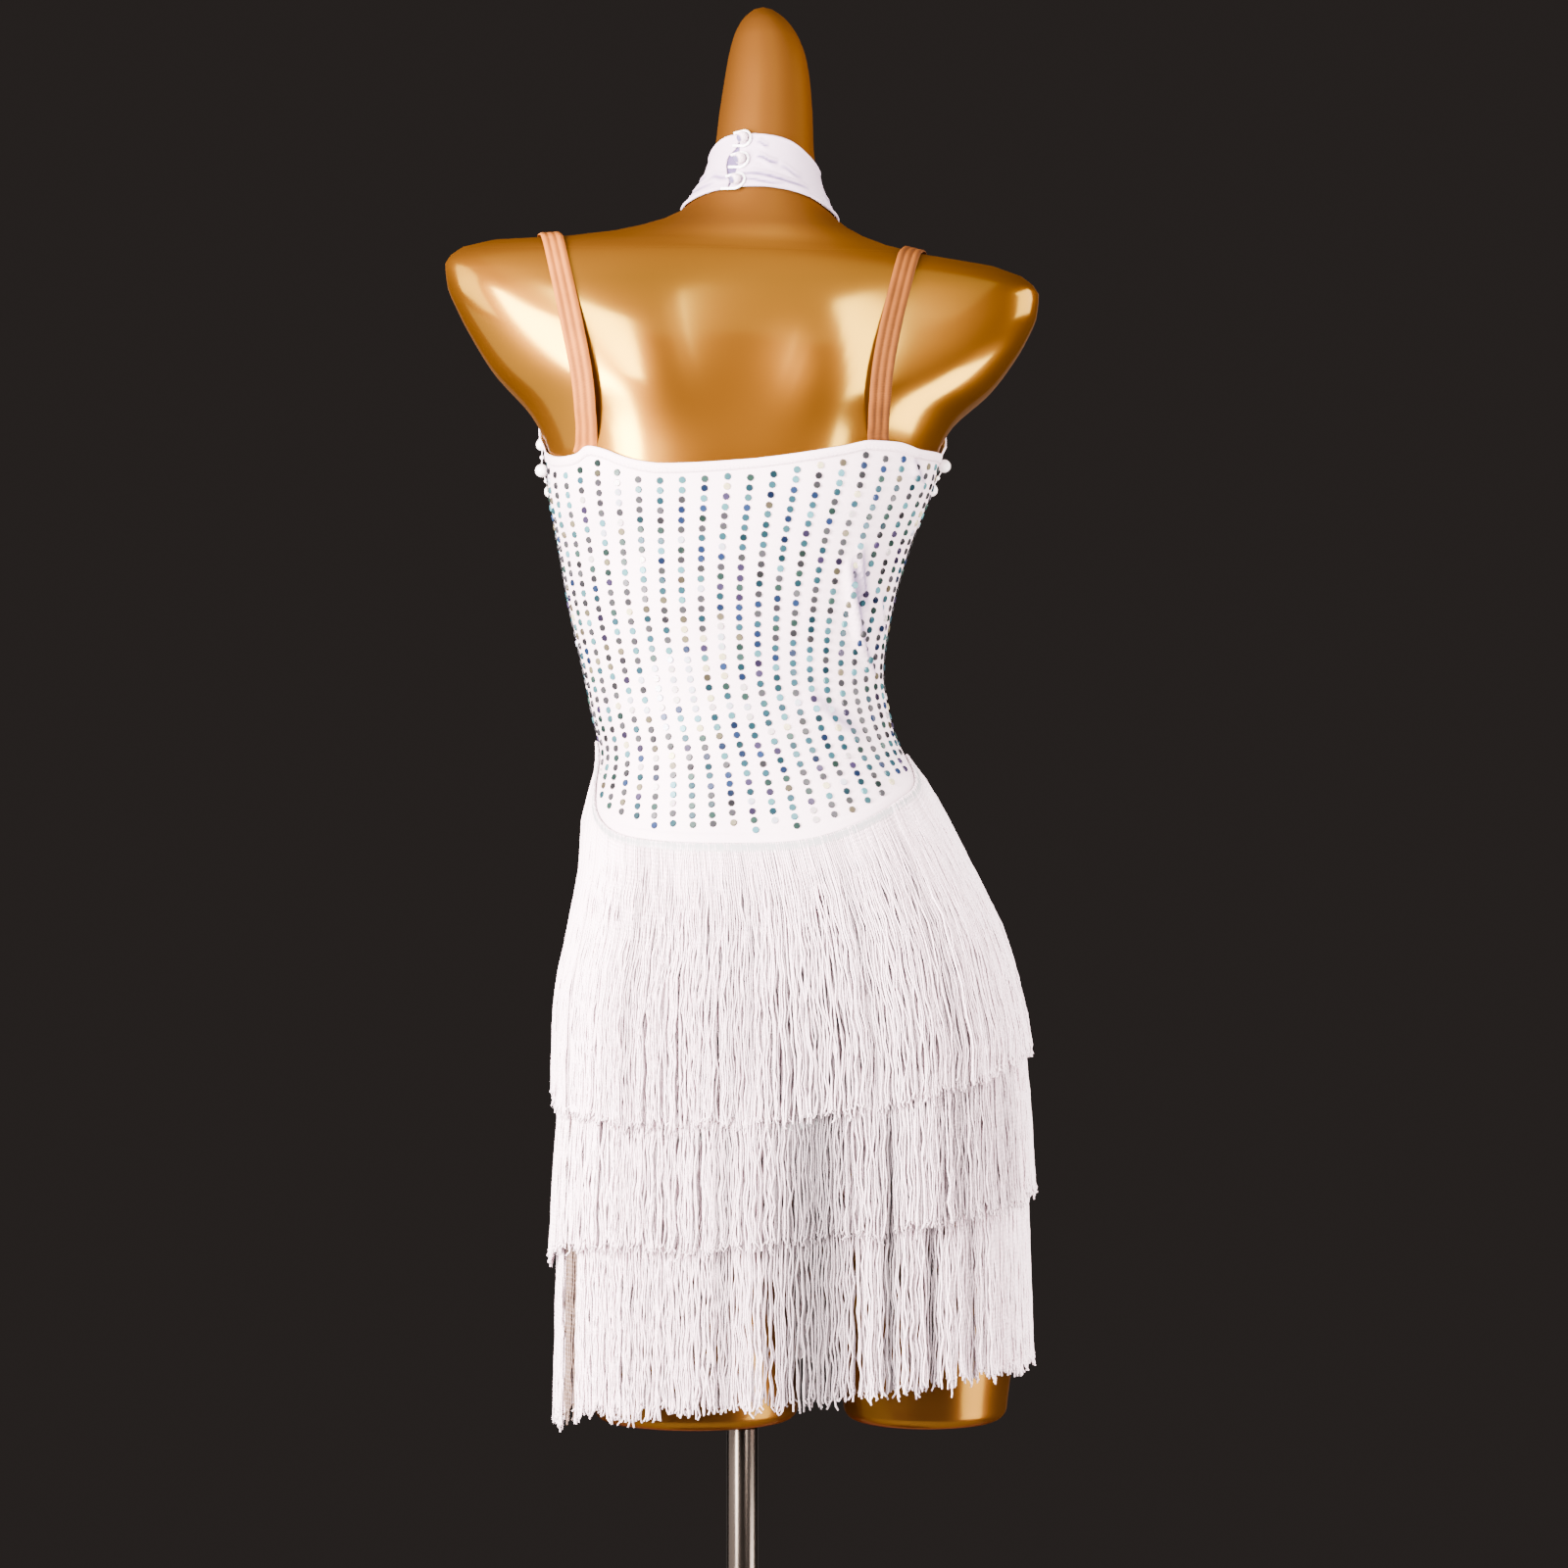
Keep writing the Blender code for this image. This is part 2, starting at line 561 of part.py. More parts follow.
def collar_buttons():
    """Three covered ball buttons beside the opening, each in a cord loop from the collar's other end."""
    around = np.degrees(1 / NECK_RADIUS)
    angle = COLLAR_OPENING + around * BUTTON_RADIUS
    reach = BUTTON_RADIUS + LOOP_CORD_RADIUS + SEAM_GAP
    lift = COLLAR_GAP + CLOTH + SEAM_GAP
    for number, share in enumerate(BUTTON_SHARES, 1):
        ball = bmesh.new()
        centre = Vector(collar_point(angle, share, lift + BUTTON_RADIUS)) * MM
        matrix = Matrix.Translation(centre)
        bmesh.ops.create_uvsphere(ball, u_segments=8, v_segments=6, radius=BUTTON_RADIUS * MM, matrix=matrix)
        mesh = bpy.data.meshes.new(f"collar_button_{number}")
        ball.to_mesh(mesh)
        ball.free()
        mesh.shade_smooth()
        place_object(mesh.name, mesh, "white_stretch")
        turns = np.linspace(-np.pi / 2, np.pi / 2, 7)
        route = [(reach * np.cos(turn), reach * np.sin(turn)) for turn in turns]
        tail = -reach * LOOP_TAIL
        route = [(tail, -reach), *route, (tail, reach)]
        places = [
            collar_point(angle + around * x, share + z / COLLAR_WIDTH, lift + LOOP_CORD_RADIUS) for x, z in route
        ]
        cord(f"collar_loop_{number}", places, [LOOP_CORD_RADIUS] * len(places), "white_stretch", 1)


def pearl_edges():
    """A string of pearls inside each armhole edge: one cord that swells into a ball at every pearl."""
    steps = (PEARL_COUNT - 1) * len(PEARL_SHAPE) + 1
    radii = [PEARL_SHAPE[i % len(PEARL_SHAPE)] for i in range(steps)]
    share = np.linspace(0, 1, PEARL_PATH_POINTS)
    for name, side in (("pearls_right", 0), ("pearls_left", 180)):
        angle, height = front_row(share, side, PEARL_INSET * np.minimum(share * PEARL_DRAWN_IN, 1))
        line = lifted(angle, height - PEARL_DROP, TRIM_IN + PEARL_RADIUS + front_off_form(height))
        length = np.concatenate([[0], np.cumsum(np.linalg.norm(np.diff(line, axis=0), axis=1))])
        where = np.arange(steps) * PEARL_PITCH / len(PEARL_SHAPE)
        route = np.stack([np.interp(where, length, line[:, axis]) for axis in range(3)], -1)
        cord(name, route, radii, "pearl", 1)


# ---- The straps ---------------------------------------------------------------------------------------------------


def tight_route(across_of, start_height, end_height, surface):
    """One edge of a strap, drawn tight from the back over the shoulder to the front: it bridges the form's
    hollows and bears on its bulges."""
    depth, height = STRAP_PIVOT
    found = []
    for turn in np.radians(RAY_TURNS):
        direction = np.array([0.0, np.cos(turn), np.sin(turn)])
        across = across_of(turn)
        start = np.array([across, depth, height]) + direction * RAY_START
        hit = surface.ray_cast(Vector(start * MM), Vector(-direction))[0]
        if hit is not None:
            found.append(np.array(hit) / MM + direction * STRAP_GAP)
    top = max(range(len(found)), key=lambda i: found[i][2])
    back, front = cut_below(found[: top + 1][::-1], start_height)[::-1], cut_below(found[top + 1 :], end_height)
    tight = []
    for point in back + front:
        while len(tight) > 1 and not bends_outward(tight[-2], tight[-1], point):
            tight.pop()
        tight.append(point)
    tight = np.array(tight)
    length = np.concatenate([[0], np.cumsum(np.linalg.norm(np.diff(tight, axis=0), axis=1))])
    where = np.linspace(0, length[-1], STRAP_POINTS)
    return np.stack([np.interp(where, length, tight[:, axis]) for axis in range(3)], -1)


def cut_below(line, height):
    """A falling line of points, ended exactly at the given height."""
    for i, point in enumerate(line):
        if point[2] < height:
            share = (line[i - 1][2] - height) / (line[i - 1][2] - point[2])
            return line[:i] + [line[i - 1] + (point - line[i - 1]) * share]
    return line


def bends_outward(before, middle, after):
    """Whether the middle point lies outside the straight line from before to after, seen from the side."""
    first, second = middle[1:] - before[1:], after[1:] - middle[1:]
    return first[0] * second[1] - first[1] * second[0] < 0


def strap(plan, surface):
    """A flat elastic strap, whose two edges are drawn tight over the form one by one."""
    edges = []
    for side in (-0.5, 0.5):

        def across_of(turn, side=side):
            end = plan.back_across if np.cos(turn) < 0 else plan.front_across
            share = min(1.0, abs(np.cos(turn))) ** STRAP_SWAY
            return plan.top_across + (end - plan.top_across) * share + side * STRAP_WIDTH

        front_height = plan.front_height - side * np.sign(plan.front_across) * plan.front_slant
        edges.append(tight_route(across_of, plan.back_height, front_height, surface))
    low_left, low_right = edges
    along = np.gradient((low_left + low_right) / 2, axis=0)
    outward = np.cross(low_right - low_left, along)
    outward /= np.linalg.norm(outward, axis=1, keepdims=True)
    inner = np.stack([low_left, low_right], 1)
    wall(plan.name, inner, inner + outward[:, None] * STRAP_THICK, "skin_elastic")


def straps(form):
    """Both straps, over the form's own facets."""
    mesh = form.data
    surface = BVHTree.FromPolygons([v.co for v in mesh.vertices], [tuple(p.vertices) for p in mesh.polygons])
    for plan in STRAPS:
        strap(plan, surface)


# ---- The skirt ----------------------------------------------------------------------------------------------------


def tilted(height, angle):
    """A height on the skirt, raised towards its right-hand side."""
    return height + SKIRT_TILT * (form_point(angle, HANG_HEIGHT)[..., 0] - SKIRT_CENTRE)


def skirt_base(name, start, end):
    """Half of the fitted skirt that the tiers are sewn to."""
    angle = column_angles(start, end, form_value("half_width", HANG_HEIGHT))
    high, low = round_line(SEAM_LINE, angle) - SEAM_GAP / 2, tilted(SKIRT_HEM, angle)
    height = bent_heights(angle, low, high)
    wall(name, lifted(angle, height, WALL_IN), lifted(angle, height, WALL_OUT), "white_stretch")


def fringe(tier):
    """One tier: a ring of heading strip with thick locks hanging from it, apart from each other."""
    pitch = 360 / LOCKS_PER_TIER
    number = np.arange(LOCKS_PER_TIER)
    angle = ((number + 0.5)[:, None] + np.array([-0.5, 0.5]) * LOCK_SHARE).ravel() * pitch
    root = round_line(SEAM_LINE, angle) - STRIP_DROP if tier.root is None else tilted(tier.root, angle)
    ragged = LOCK_RAGGED * np.sin(RAGGED_STEP * number)
    end = tilted(tier.end, angle) + tier.side_rise * np.cos(np.radians(angle)) ** 2 + np.repeat(ragged, 2)
    end = end + tier.lift.rise * np.exp(-(((angle - tier.lift.angle) / tier.lift.spread) ** 2))
    rows = [LockRow(*row) for row in tier.rows]
    columns = len(angle)
    first = rows[0].clearance
    rings = [lifted(angle, root, first), lifted(angle, root, first + LOCK_THICK)]
    for row in rows:
        height = root - STRIP_HEIGHT + (end - root + STRIP_HEIGHT) * row.share
        rings += [lifted(angle, height, row.clearance), lifted(angle, height, row.clearance + LOCK_THICK)]
    faces = []
    for i in range(columns):
        beside = (i + 1) % columns
        corner = [ring * columns + column for ring in range(len(rings)) for column in (i, beside)]
        faces.append((corner[0], corner[1], corner[3], corner[2]))
        faces.append((corner[4], corner[5], corner[1], corner[0]))
        faces.append((corner[2], corner[3], corner[7], corner[6]))
        if i % 2:
            faces.append((corner[6], corner[7], corner[5], corner[4]))
            continue
        for level in range(4, 4 * len(rows), 4):
            a, b, c, d = corner[level : level + 4]
            e, f, g, h = corner[level + 4 : level + 8]
            faces += [(e, f, b, a), (c, d, h, g), (a, c, g, e), (d, b, f, h)]
        faces.append((g, h, f, e))
    solid(tier.name, np.concatenate(rings), faces, "white_fringe")


# ---- The stand ------------------------------------------------------------------------------------------------------


def stand():
    """The tube under the left thigh stub, and the foot whose hub holds it."""
    top = LEFT_THIGH[-1].height - SEAT_GAP
    bottom = BORE_FLOOR + SEAT_GAP
    turned("stand_pole", [(0, bottom), (POLE_RADIUS, bottom), (POLE_RADIUS, top), (0, top)], POLE_SIDES, "chrome")
    bore = POLE_RADIUS + BORE_GAP
    foot = [
        (0, 0),
        (FOOT_RADIUS - 1, 0),
        (FOOT_RADIUS, 1),
        (FOOT_RADIUS, FOOT_EDGE - 2),
        (FOOT_RADIUS - 2, FOOT_EDGE),
        (FOOT_RADIUS * FOOT_SLOPE, (FOOT_EDGE + 2 * FOOT_CROWN) / 3),
        (HUB_RADIUS + HUB_ROUND, FOOT_CROWN),
        (HUB_RADIUS, FOOT_CROWN + HUB_ROUND),
        (HUB_RADIUS, HUB_HEIGHT - HUB_ROUND),
        (HUB_RADIUS - HUB_ROUND, HUB_HEIGHT),
        (bore, HUB_HEIGHT),
        (bore, BORE_FLOOR),
        (0, BORE_FLOOR),
    ]
    turned("stand_foot", foot, FOOT_SIDES, "chrome")


def main():
    """Clear the scene, then make each piece."""
    for old in list(bpy.data.objects):
        bpy.data.objects.remove(old)
    form = display_form()
    bodice_back()
    bodice_front()
    collar()
    collar_buttons()
    pearl_edges()
    straps(form)
    skirt_base("skirt_base_back", 180, 360)
    skirt_base("skirt_base_front", 0, 180)
    for tier in TIERS:
        fringe(tier)
    stand()


main()
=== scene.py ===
"""A salsa dance dress on its display form: the finishes, fine cloth, stones, pearls and fringe.

Blender 4.5 script. Sizes are in metres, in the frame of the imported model: +X is the right-hand side seen
from behind, +Y the wearer's front, -Y the dress's back and +Z up, from the middle of the foot's underside.
"""

import logging
import math
from dataclasses import dataclass
from enum import Enum
from typing import Callable, NamedTuple, Sequence

import bpy
import numpy as np
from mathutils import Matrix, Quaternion, Vector
from mathutils.bvhtree import BVHTree


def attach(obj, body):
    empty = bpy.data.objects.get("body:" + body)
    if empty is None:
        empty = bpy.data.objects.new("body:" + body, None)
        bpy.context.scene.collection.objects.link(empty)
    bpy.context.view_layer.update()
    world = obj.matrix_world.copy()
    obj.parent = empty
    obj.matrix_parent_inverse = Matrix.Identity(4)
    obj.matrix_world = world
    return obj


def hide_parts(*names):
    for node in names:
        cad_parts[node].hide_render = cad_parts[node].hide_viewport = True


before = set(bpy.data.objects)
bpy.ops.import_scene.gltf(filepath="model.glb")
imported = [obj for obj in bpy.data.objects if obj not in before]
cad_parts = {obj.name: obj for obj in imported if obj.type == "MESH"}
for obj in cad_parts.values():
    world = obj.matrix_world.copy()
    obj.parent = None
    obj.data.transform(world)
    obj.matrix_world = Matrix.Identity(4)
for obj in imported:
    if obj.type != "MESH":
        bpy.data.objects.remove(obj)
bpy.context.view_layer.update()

Array = np.ndarray
Reals = Array | float
Pair = tuple[float, float]
Triple = tuple[float, float, float]
Table = Sequence[Pair]
Object = bpy.types.Object
Socket = bpy.types.NodeSocket
BODY = "root"
SEED = 20
TURN = 2 * math.pi
log = logging.getLogger("dress")


class Slot(Enum):
    """The record's material slots."""

    GOLD = "gold_form"
    CHROME = "chrome_stand"
    STRETCH = "white_stretch"
    FRINGE = "white_fringe"
    ELASTIC = "skin_elastic"
    PEARL = "pearl"
    STONE = "rhinestone"


# ---- Curves through tables ----


def smooth_line(table: Table, where: Reals) -> Array:
    """Read a smooth curve through a table, level at each highest and lowest value.

    Args:
        table: pairs of position and value, with rising positions.
        where: the positions to read.

    Returns:
        The curve's values at those positions.
    """
    position, value = np.array(table, float).T
    secant = np.diff(value) / np.diff(position)
    slope = np.concatenate([secant[:1], (secant[:-1] + secant[1:]) / 2, secant[-1:]])
    slope[1:-1][secant[:-1] * secant[1:] <= 0] = 0.0
    where = np.asarray(where, float)
    i = np.clip(np.searchsorted(position, where) - 1, 0, len(position) - 2)
    width = position[i + 1] - position[i]
    t = np.clip((where - position[i]) / width, 0, 1)
    start = (1 + 2 * t) * (1 - t) ** 2 * value[i] + t * (1 - t) ** 2 * width * slope[i]
    return start + t**2 * (3 - 2 * t) * value[i + 1] + t**2 * (t - 1) * width * slope[i + 1]


def round_line(table: Table, angle: Reals) -> Array:
    """Read the same kind of curve round the body.

    Args:
        table: pairs of degrees and value, from 0 to 360.
        angle: degrees to read it at.

    Returns:
        The curve's values there.
    """
    around = [(a - 360, v) for a, v in table[:-1]] + list(table) + [(a + 360, v) for a, v in table[1:]]
    return smooth_line(around, np.asarray(angle, float) % 360)


def unit(vectors: Array) -> Array:
    """Vectors drawn out to a length of one."""
    return vectors / np.maximum(np.linalg.norm(vectors, axis=-1, keepdims=True), 1e-12)


def eased(value: Reals, low: float, high: float) -> Array:
    """A smooth step from 0 at low to 1 at high."""
    t = np.clip((np.asarray(value, float) - low) / (high - low), 0, 1)
    return t * t * (3 - 2 * t)


def turn_between(angle: Reals, centre: float) -> Array:
    """Degrees from centre to angle, from -180 to 180."""
    return (np.asarray(angle, float) - centre + 180) % 360 - 180


def bell(value: Reals, centre: float = 0.0, spread: float = 1.0) -> Array:
    """A smooth hump: 1 at the centre, and next to nothing two spreads away."""
    return np.exp(-(((value - centre) / spread) ** 2))


def arched(share: Array, power: float) -> Array:
    """An arch over shares from 0 to 1, level with the ground at both ends and beyond them."""
    return np.sin(np.pi * np.clip(share, 0, 1)) ** power


def distances(points: Array, axis: int = 0) -> Array:
    """Length up to each point along lines that run along the given axis."""
    steps = np.linalg.norm(np.diff(points, axis=axis), axis=-1)
    return np.insert(np.cumsum(steps, axis), 0, 0, axis)


def sampled(values: Array, length: Array, where: Array) -> Array:
    """The points or directions of a line, read at the given lengths along it."""
    return np.stack([np.interp(where, length, values[:, axis]) for axis in range(3)], -1)


def spaced(line: Array, count: int) -> Array:
    """Points evenly spaced along a line of points."""
    length = distances(line)
    return sampled(line, length, np.linspace(0, length[-1], count))


# ---- The figure: one smooth surface that all the cloth lies on ----


class FormRow(NamedTuple):
    """One level of the form. side is how far forward its widest point lies, tilt lowers its right-hand
    side, in degrees, and fullness is the exponent of the rounded section: 2 is an ellipse."""

    height: float
    centre: float
    half_width: float
    back: float
    front: float
    side: float
    tilt: float
    fullness: float


class Swell(NamedTuple):
    """Smooth fullness round one place on both sides of the middle."""

    across: float
    height: float
    spread_across: float
    spread_up: float
    depth: float

    def at(self, across: Array, height: Array) -> Array:
        """How far it moves the surface at the given places."""
        sideways = sum(bell(across, side, self.spread_across) for side in (-self.across, self.across))
        return self.depth * sideways * bell(height, self.height, self.spread_up)


FORM_TABLE = (
    (0.790, 0.037, 0.1605, -0.112, 0.086, -0.012, 0.0, 2.35),
    (0.845, 0.036, 0.1625, -0.127, 0.091, -0.014, 0.0, 2.3),
    (0.883, 0.0335, 0.1588, -0.129, 0.094, -0.016, 0.0, 2.25),
    (0.926, 0.0315, 0.1493, -0.122, 0.097, -0.014, 0.0, 2.2),
    (0.969, 0.025, 0.1360, -0.106, 0.098, -0.008, 0.0, 2.2),
    (1.012, 0.0158, 0.1248, -0.090, 0.097, -0.002, 0.0, 2.2),
    (1.034, 0.0125, 0.1170, -0.083, 0.095, 0.001, 0.0, 2.2),
    (1.055, 0.0072, 0.1085, -0.077, 0.092, 0.004, 0.0, 2.15),
    (1.077, 0.0008, 0.1065, -0.073, 0.089, 0.005, 0.0, 2.1),
    (1.099, -0.004, 0.1065, -0.071, 0.087, 0.005, 0.0, 2.1),
    (1.120, -0.0068, 0.108, -0.072, 0.086, 0.004, 0.0, 2.15),
    (1.163, -0.0083, 0.116, -0.080, 0.086, 0.002, 0.0, 2.2),
    (1.207, -0.006, 0.126, -0.088, 0.087, 0.000, 0.0, 2.25),
    (1.250, -0.0015, 0.138, -0.096, 0.088, -0.002, 0.2, 2.35),
    (1.276, 0.0005, 0.1425, -0.098, 0.086, -0.003, 0.8, 2.4),
    (1.300, 0.000, 0.155, -0.098, 0.082, -0.004, 1.5, 2.5),
    (1.326, 0.000, 0.181, -0.097, 0.077, -0.006, 2.2, 2.7),
    (1.347, 0.000, 0.196, -0.094, 0.070, -0.008, 2.7, 2.9),
    (1.368, 0.000, 0.208, -0.089, 0.062, -0.010, 3.0, 3.0),
    (1.390, 0.000, 0.216, -0.081, 0.052, -0.012, 3.0, 3.0),
    (1.409, 0.000, 0.212, -0.071, 0.042, -0.013, 3.0, 2.9),
    (1.4205, 0.0005, 0.184, -0.063, 0.036, -0.012, 3.0, 2.6),
    (1.427, 0.003, 0.128, -0.057, 0.033, -0.011, 3.0, 2.3),
    (1.4365, 0.007, 0.087, -0.053, 0.033, -0.009, 3.0, 2.1),
    (1.4485, 0.0105, 0.060, -0.048, 0.034, -0.007, 2.5, 2.0),
    (1.468, 0.0135, 0.045, -0.043, 0.036, -0.004, 2.0, 2.0),
    (1.490, 0.0155, 0.038, -0.038, 0.038, 0.000, 1.0, 2.0),
    (1.531, 0.0175, 0.0338, -0.032, 0.039, 0.004, 0.0, 2.0),
    (1.559, 0.0183, 0.0302, -0.027, 0.036, 0.005, 0.0, 2.0),
    (1.574, 0.018, 0.027, -0.023, 0.033, 0.005, 0.0, 2.0),
    (1.588, 0.0169, 0.0214, -0.018, 0.027, 0.005, 0.0, 2.0),
    (1.598, 0.0158, 0.014, -0.011, 0.020, 0.005, 0.0, 2.0),
    (1.603, 0.0152, 0.0075, -0.004, 0.013, 0.005, 0.0, 2.0),
)


@dataclass(frozen=True)
class Figure:
    """The display form's surface, by degrees round the body and height: 0 is right, 90 the front, 180 left
    and 270 the back."""

    rows: tuple[FormRow, ...] = tuple(FormRow(*row) for row in FORM_TABLE)
    top: float = 1.6055
    bust: Swell = Swell(across=0.064, height=1.236, spread_across=0.056, spread_up=0.052, depth=0.025)
    blade: Swell = Swell(across=0.088, height=1.335, spread_across=0.046, spread_up=0.062, depth=0.005)
    ridge: Swell = Swell(across=0.056, height=1.340, spread_across=0.027, spread_up=0.048, depth=0.0045)
    spine: Swell = Swell(across=0.0, height=1.265, spread_across=0.026, spread_up=0.130, depth=-0.0002)
    hang_height: float = 0.845
    hang_lean: float = 0.006
    skirt_centre: float = 0.037
    skirt_tilt: float = 0.128
    turn_step: float = 0.5
    height_step: float = 0.0005

    def value(self, column: str, height: Reals) -> Array:
        """One column of the table, read smoothly at the given heights."""
        index = FormRow._fields.index(column)
        return smooth_line([(row.height, row[index]) for row in self.rows], height)

    def section(self, angle: Array, level: Array, height: Array) -> Array:
        """Points of the form's section at one level, drawn at another height.

        Args:
            angle: degrees round the body.
            level: height that the section is read at.
            height: height that it is drawn at.

        Returns:
            The points, with three numbers each.
        """
        cosine, sine = np.cos(np.radians(angle)), np.sin(np.radians(angle))
        power = 2 / self.value("fullness", level)
        across = self.value("half_width", level) * np.sign(cosine) * np.abs(cosine) ** power
        side, front, back = (self.value(column, level) for column in ("side", "front", "back"))
        reach = np.where(sine > 0, front - side, side - back)
        depth = side + reach * np.sign(sine) * np.abs(sine) ** power
        depth = depth + np.clip(sine, 0, 1) * self.bust.at(across, level)
        for swell in (self.blade, self.ridge, self.spine):
            depth = depth + np.clip(sine, -1, 0) * swell.at(across, level)
        tilt = np.radians(self.value("tilt", level))
        middle = self.value("centre", level) + (level - height) * self.hang_lean
        return np.stack([middle + across * np.cos(tilt), depth, height - across * np.sin(tilt)], -1)

    def point(self, angle: Reals, height: Reals) -> Array:
        """Points of the surface. Below the hips they fall straight down, which is where cloth hangs."""
        angle, height = np.broadcast_arrays(np.asarray(angle, float), np.asarray(height, float))
        return self.section(angle, np.maximum(height, self.hang_height), height)

    def normal(self, angle: Reals, height: Reals) -> Array:
        """The outward directions at places of the surface."""
        turn, rise = self.turn_step, self.height_step
        along = self.point(angle + turn, height) - self.point(angle - turn, height)
        up = self.point(angle, height + rise) - self.point(angle, height - rise)
        return unit(np.cross(along, up))

    def lifted(self, angle: Reals, height: Reals, clearance: Reals) -> Array:
        """Points that stand off the surface by the given clearance, square to it."""
        clearance = np.asarray(clearance, float)[..., None]
        return self.point(angle, height) + self.normal(angle, height) * clearance

    def layered(self, angle: Array, height: Array, *clearances: Reals) -> list[Array]:
        """The points at the same places for each of the given clearances."""
        return [self.lifted(angle, height, clearance) for clearance in clearances]

    def between(self, start: float, end: float, columns: int, gap: float, height: float) -> Array:
        """Degrees of columns between two seams, drawn in by half the gap there is at that height."""
        inset = math.degrees(gap / 2 / float(self.value("half_width", height)))
        return np.linspace(start + inset, end - inset, columns)

    def tilted(self, height: float, angle: Reals) -> Array:
        """A height on the skirt, raised towards its right-hand side."""
        return height + self.skirt_tilt * (self.point(angle, self.hang_height)[..., 0] - self.skirt_centre)


# ---- Meshes ----


class Piece:
    """A mesh in the making: points with a tone each, and faces with a texture place at each corner."""

    def __init__(self) -> None:
        """An empty piece."""
        self.points: list[Array] = []
        self.tones: list[Array] = []
        self.faces: list[Array] = []
        self.places: list[Array] = []
        self.count = 0

    def add_points(self, points: Array, tone: Reals = 1.0) -> Array:
        """Add points.

        Args:
            points: an array whose last side holds the three numbers of each point.
            tone: one value for all of them, or red, green and blue for each.

        Returns:
            The points' numbers, in the array's own shape.
        """
        shape = points.shape[:-1]
        tone = np.asarray(tone, float)
        colour = np.broadcast_to(tone if tone.ndim else np.full(3, float(tone)), (*shape, 3))
        numbers = np.arange(self.count, self.count + int(np.prod(shape))).reshape(shape)
        self.points.append(points.reshape(-1, 3))
        self.tones.append(colour.reshape(-1, 3))
        self.count += numbers.size
        return numbers

    def add_faces(self, corners: Array, places: Array | None = None) -> None:
        """Add faces with the same number of corners each.

        Args:
            corners: point numbers, a row for each face.
            places: two texture numbers for each corner, or none.
        """
        if places is None:
            places = np.zeros((*corners.shape, 2))
        self.faces.append(corners)
        self.places.append(np.broadcast_to(places, (*corners.shape, 2)))

    def add_net(self, numbers: Array, places: Array, wrap: bool = False, inwards: bool = False) -> None:
        """Add the faces of nets of points.

        Args:
            numbers: point numbers, with rows and columns as the last two sides.
            places: texture places, with one column more than numbers where it wraps.
            wrap: whether the last column joins the first.
            inwards: whether the faces look inwards.
        """
        if wrap:
            numbers = np.concatenate([numbers, numbers[..., :1]], -1)
        places = np.broadcast_to(places, (*numbers.shape, 2))
        order = ((0, 0), (0, 1), (1, 1), (1, 0))[:: -1 if inwards else 1]
        rows, columns = numbers.shape[-2:]
        cut = [(slice(r, rows - 1 + r), slice(c, columns - 1 + c)) for r, c in order]
        self.add_faces(
            np.stack([numbers[..., r, c] for r, c in cut], -1).reshape(-1, 4),
            np.stack([places[..., r, c, :] for r, c in cut], -2).reshape(-1, 4, 2),
        )

    def add_wall(
        self,
        inner: Array,
        outer: Array,
        places: Array | None = None,
        wrap: bool = False,
        tone: Reals = 1.0,
    ) -> None:
        """Add a closed wall between two nets of points.

        Args:
            inner: the wall's inner points, rows by columns.
            outer: its outer points, in the same order.
            places: texture places, with one column more than the points where it wraps. A wall that doesn't
                wrap can do without them: they are metres over its outer side then.
            wrap: whether it is a ring.
            tone: its tone, as add_points takes it.
        """
        places = net_places(outer) if places is None else places
        out, within = self.add_points(outer, tone), self.add_points(inner, tone)
        self.add_net(out, places, wrap)
        self.add_net(within, places, wrap, inwards=True)
        self.add_net(np.stack([within[0], out[0]]), places[:2] * 0 + places[:1], wrap)
        self.add_net(np.stack([out[-1], within[-1]]), places[-2:] * 0 + places[-1:], wrap)
        if not wrap:
            first, last = places[:, :1], places[:, -1:]
            self.add_net(np.stack([within[:, 0], out[:, 0]], 1), np.concatenate([first, first], 1))
            self.add_net(np.stack([out[:, -1], within[:, -1]], 1), np.concatenate([last, last], 1))

    def add_cords(
        self, lines: Array, radii: Array, outward: Array, sides: int, tone: Reals = 1.0
    ) -> None:
        """Add round cords with closed ends.

        Args:
            lines: points along each cord, cords by rows by three.
            radii: the radius at each of those points.
            outward: for each point, a direction that the cord's first side looks in.
            sides: how many sides a cord has.
            tone: the cords' tone, as add_points takes it.
        """
        along = unit(np.gradient(lines, axis=1))
        side = unit(np.cross(along, outward))
        face = np.cross(side, along)
        turns = np.arange(sides) * TURN / sides
        ring = np.cos(turns)[:, None] * face[:, :, None] + np.sin(turns)[:, None] * side[:, :, None]
        tone = np.asarray(tone, float)
        if tone.ndim == 2:
            tone = tone[:, None, None]
        numbers = self.add_points(lines[:, :, None] + ring * radii[:, :, None, None], tone)
        around = np.arange(sides + 1) / sides
        places = np.stack(np.broadcast_arrays(around, distances(lines, 1)[:, :, None]), -1)
        self.add_net(numbers, places, wrap=True)
        self.add_faces(numbers[:, 0, ::-1])
        self.add_faces(numbers[:, -1])

    def add_copies(self, shape: "Shape", frames: Array, tone: Reals = 1.0) -> None:
        """Add copies of one small shape.

        Args:
            shape: the shape.
            frames: for each copy, a 4 by 3 array of its three directions and its place.
            tone: a tone for each copy, or one for all.
        """
        points = np.einsum("pk,nkc->npc", shape.points, frames[:, :3]) + frames[:, 3][:, None]
        tone = np.asarray(tone, float)
        numbers = self.add_points(points, tone[:, None] if tone.ndim == 2 else tone)
        for corners in shape.faces:
            self.add_faces(numbers[:, corners].reshape(-1, corners.shape[1]))

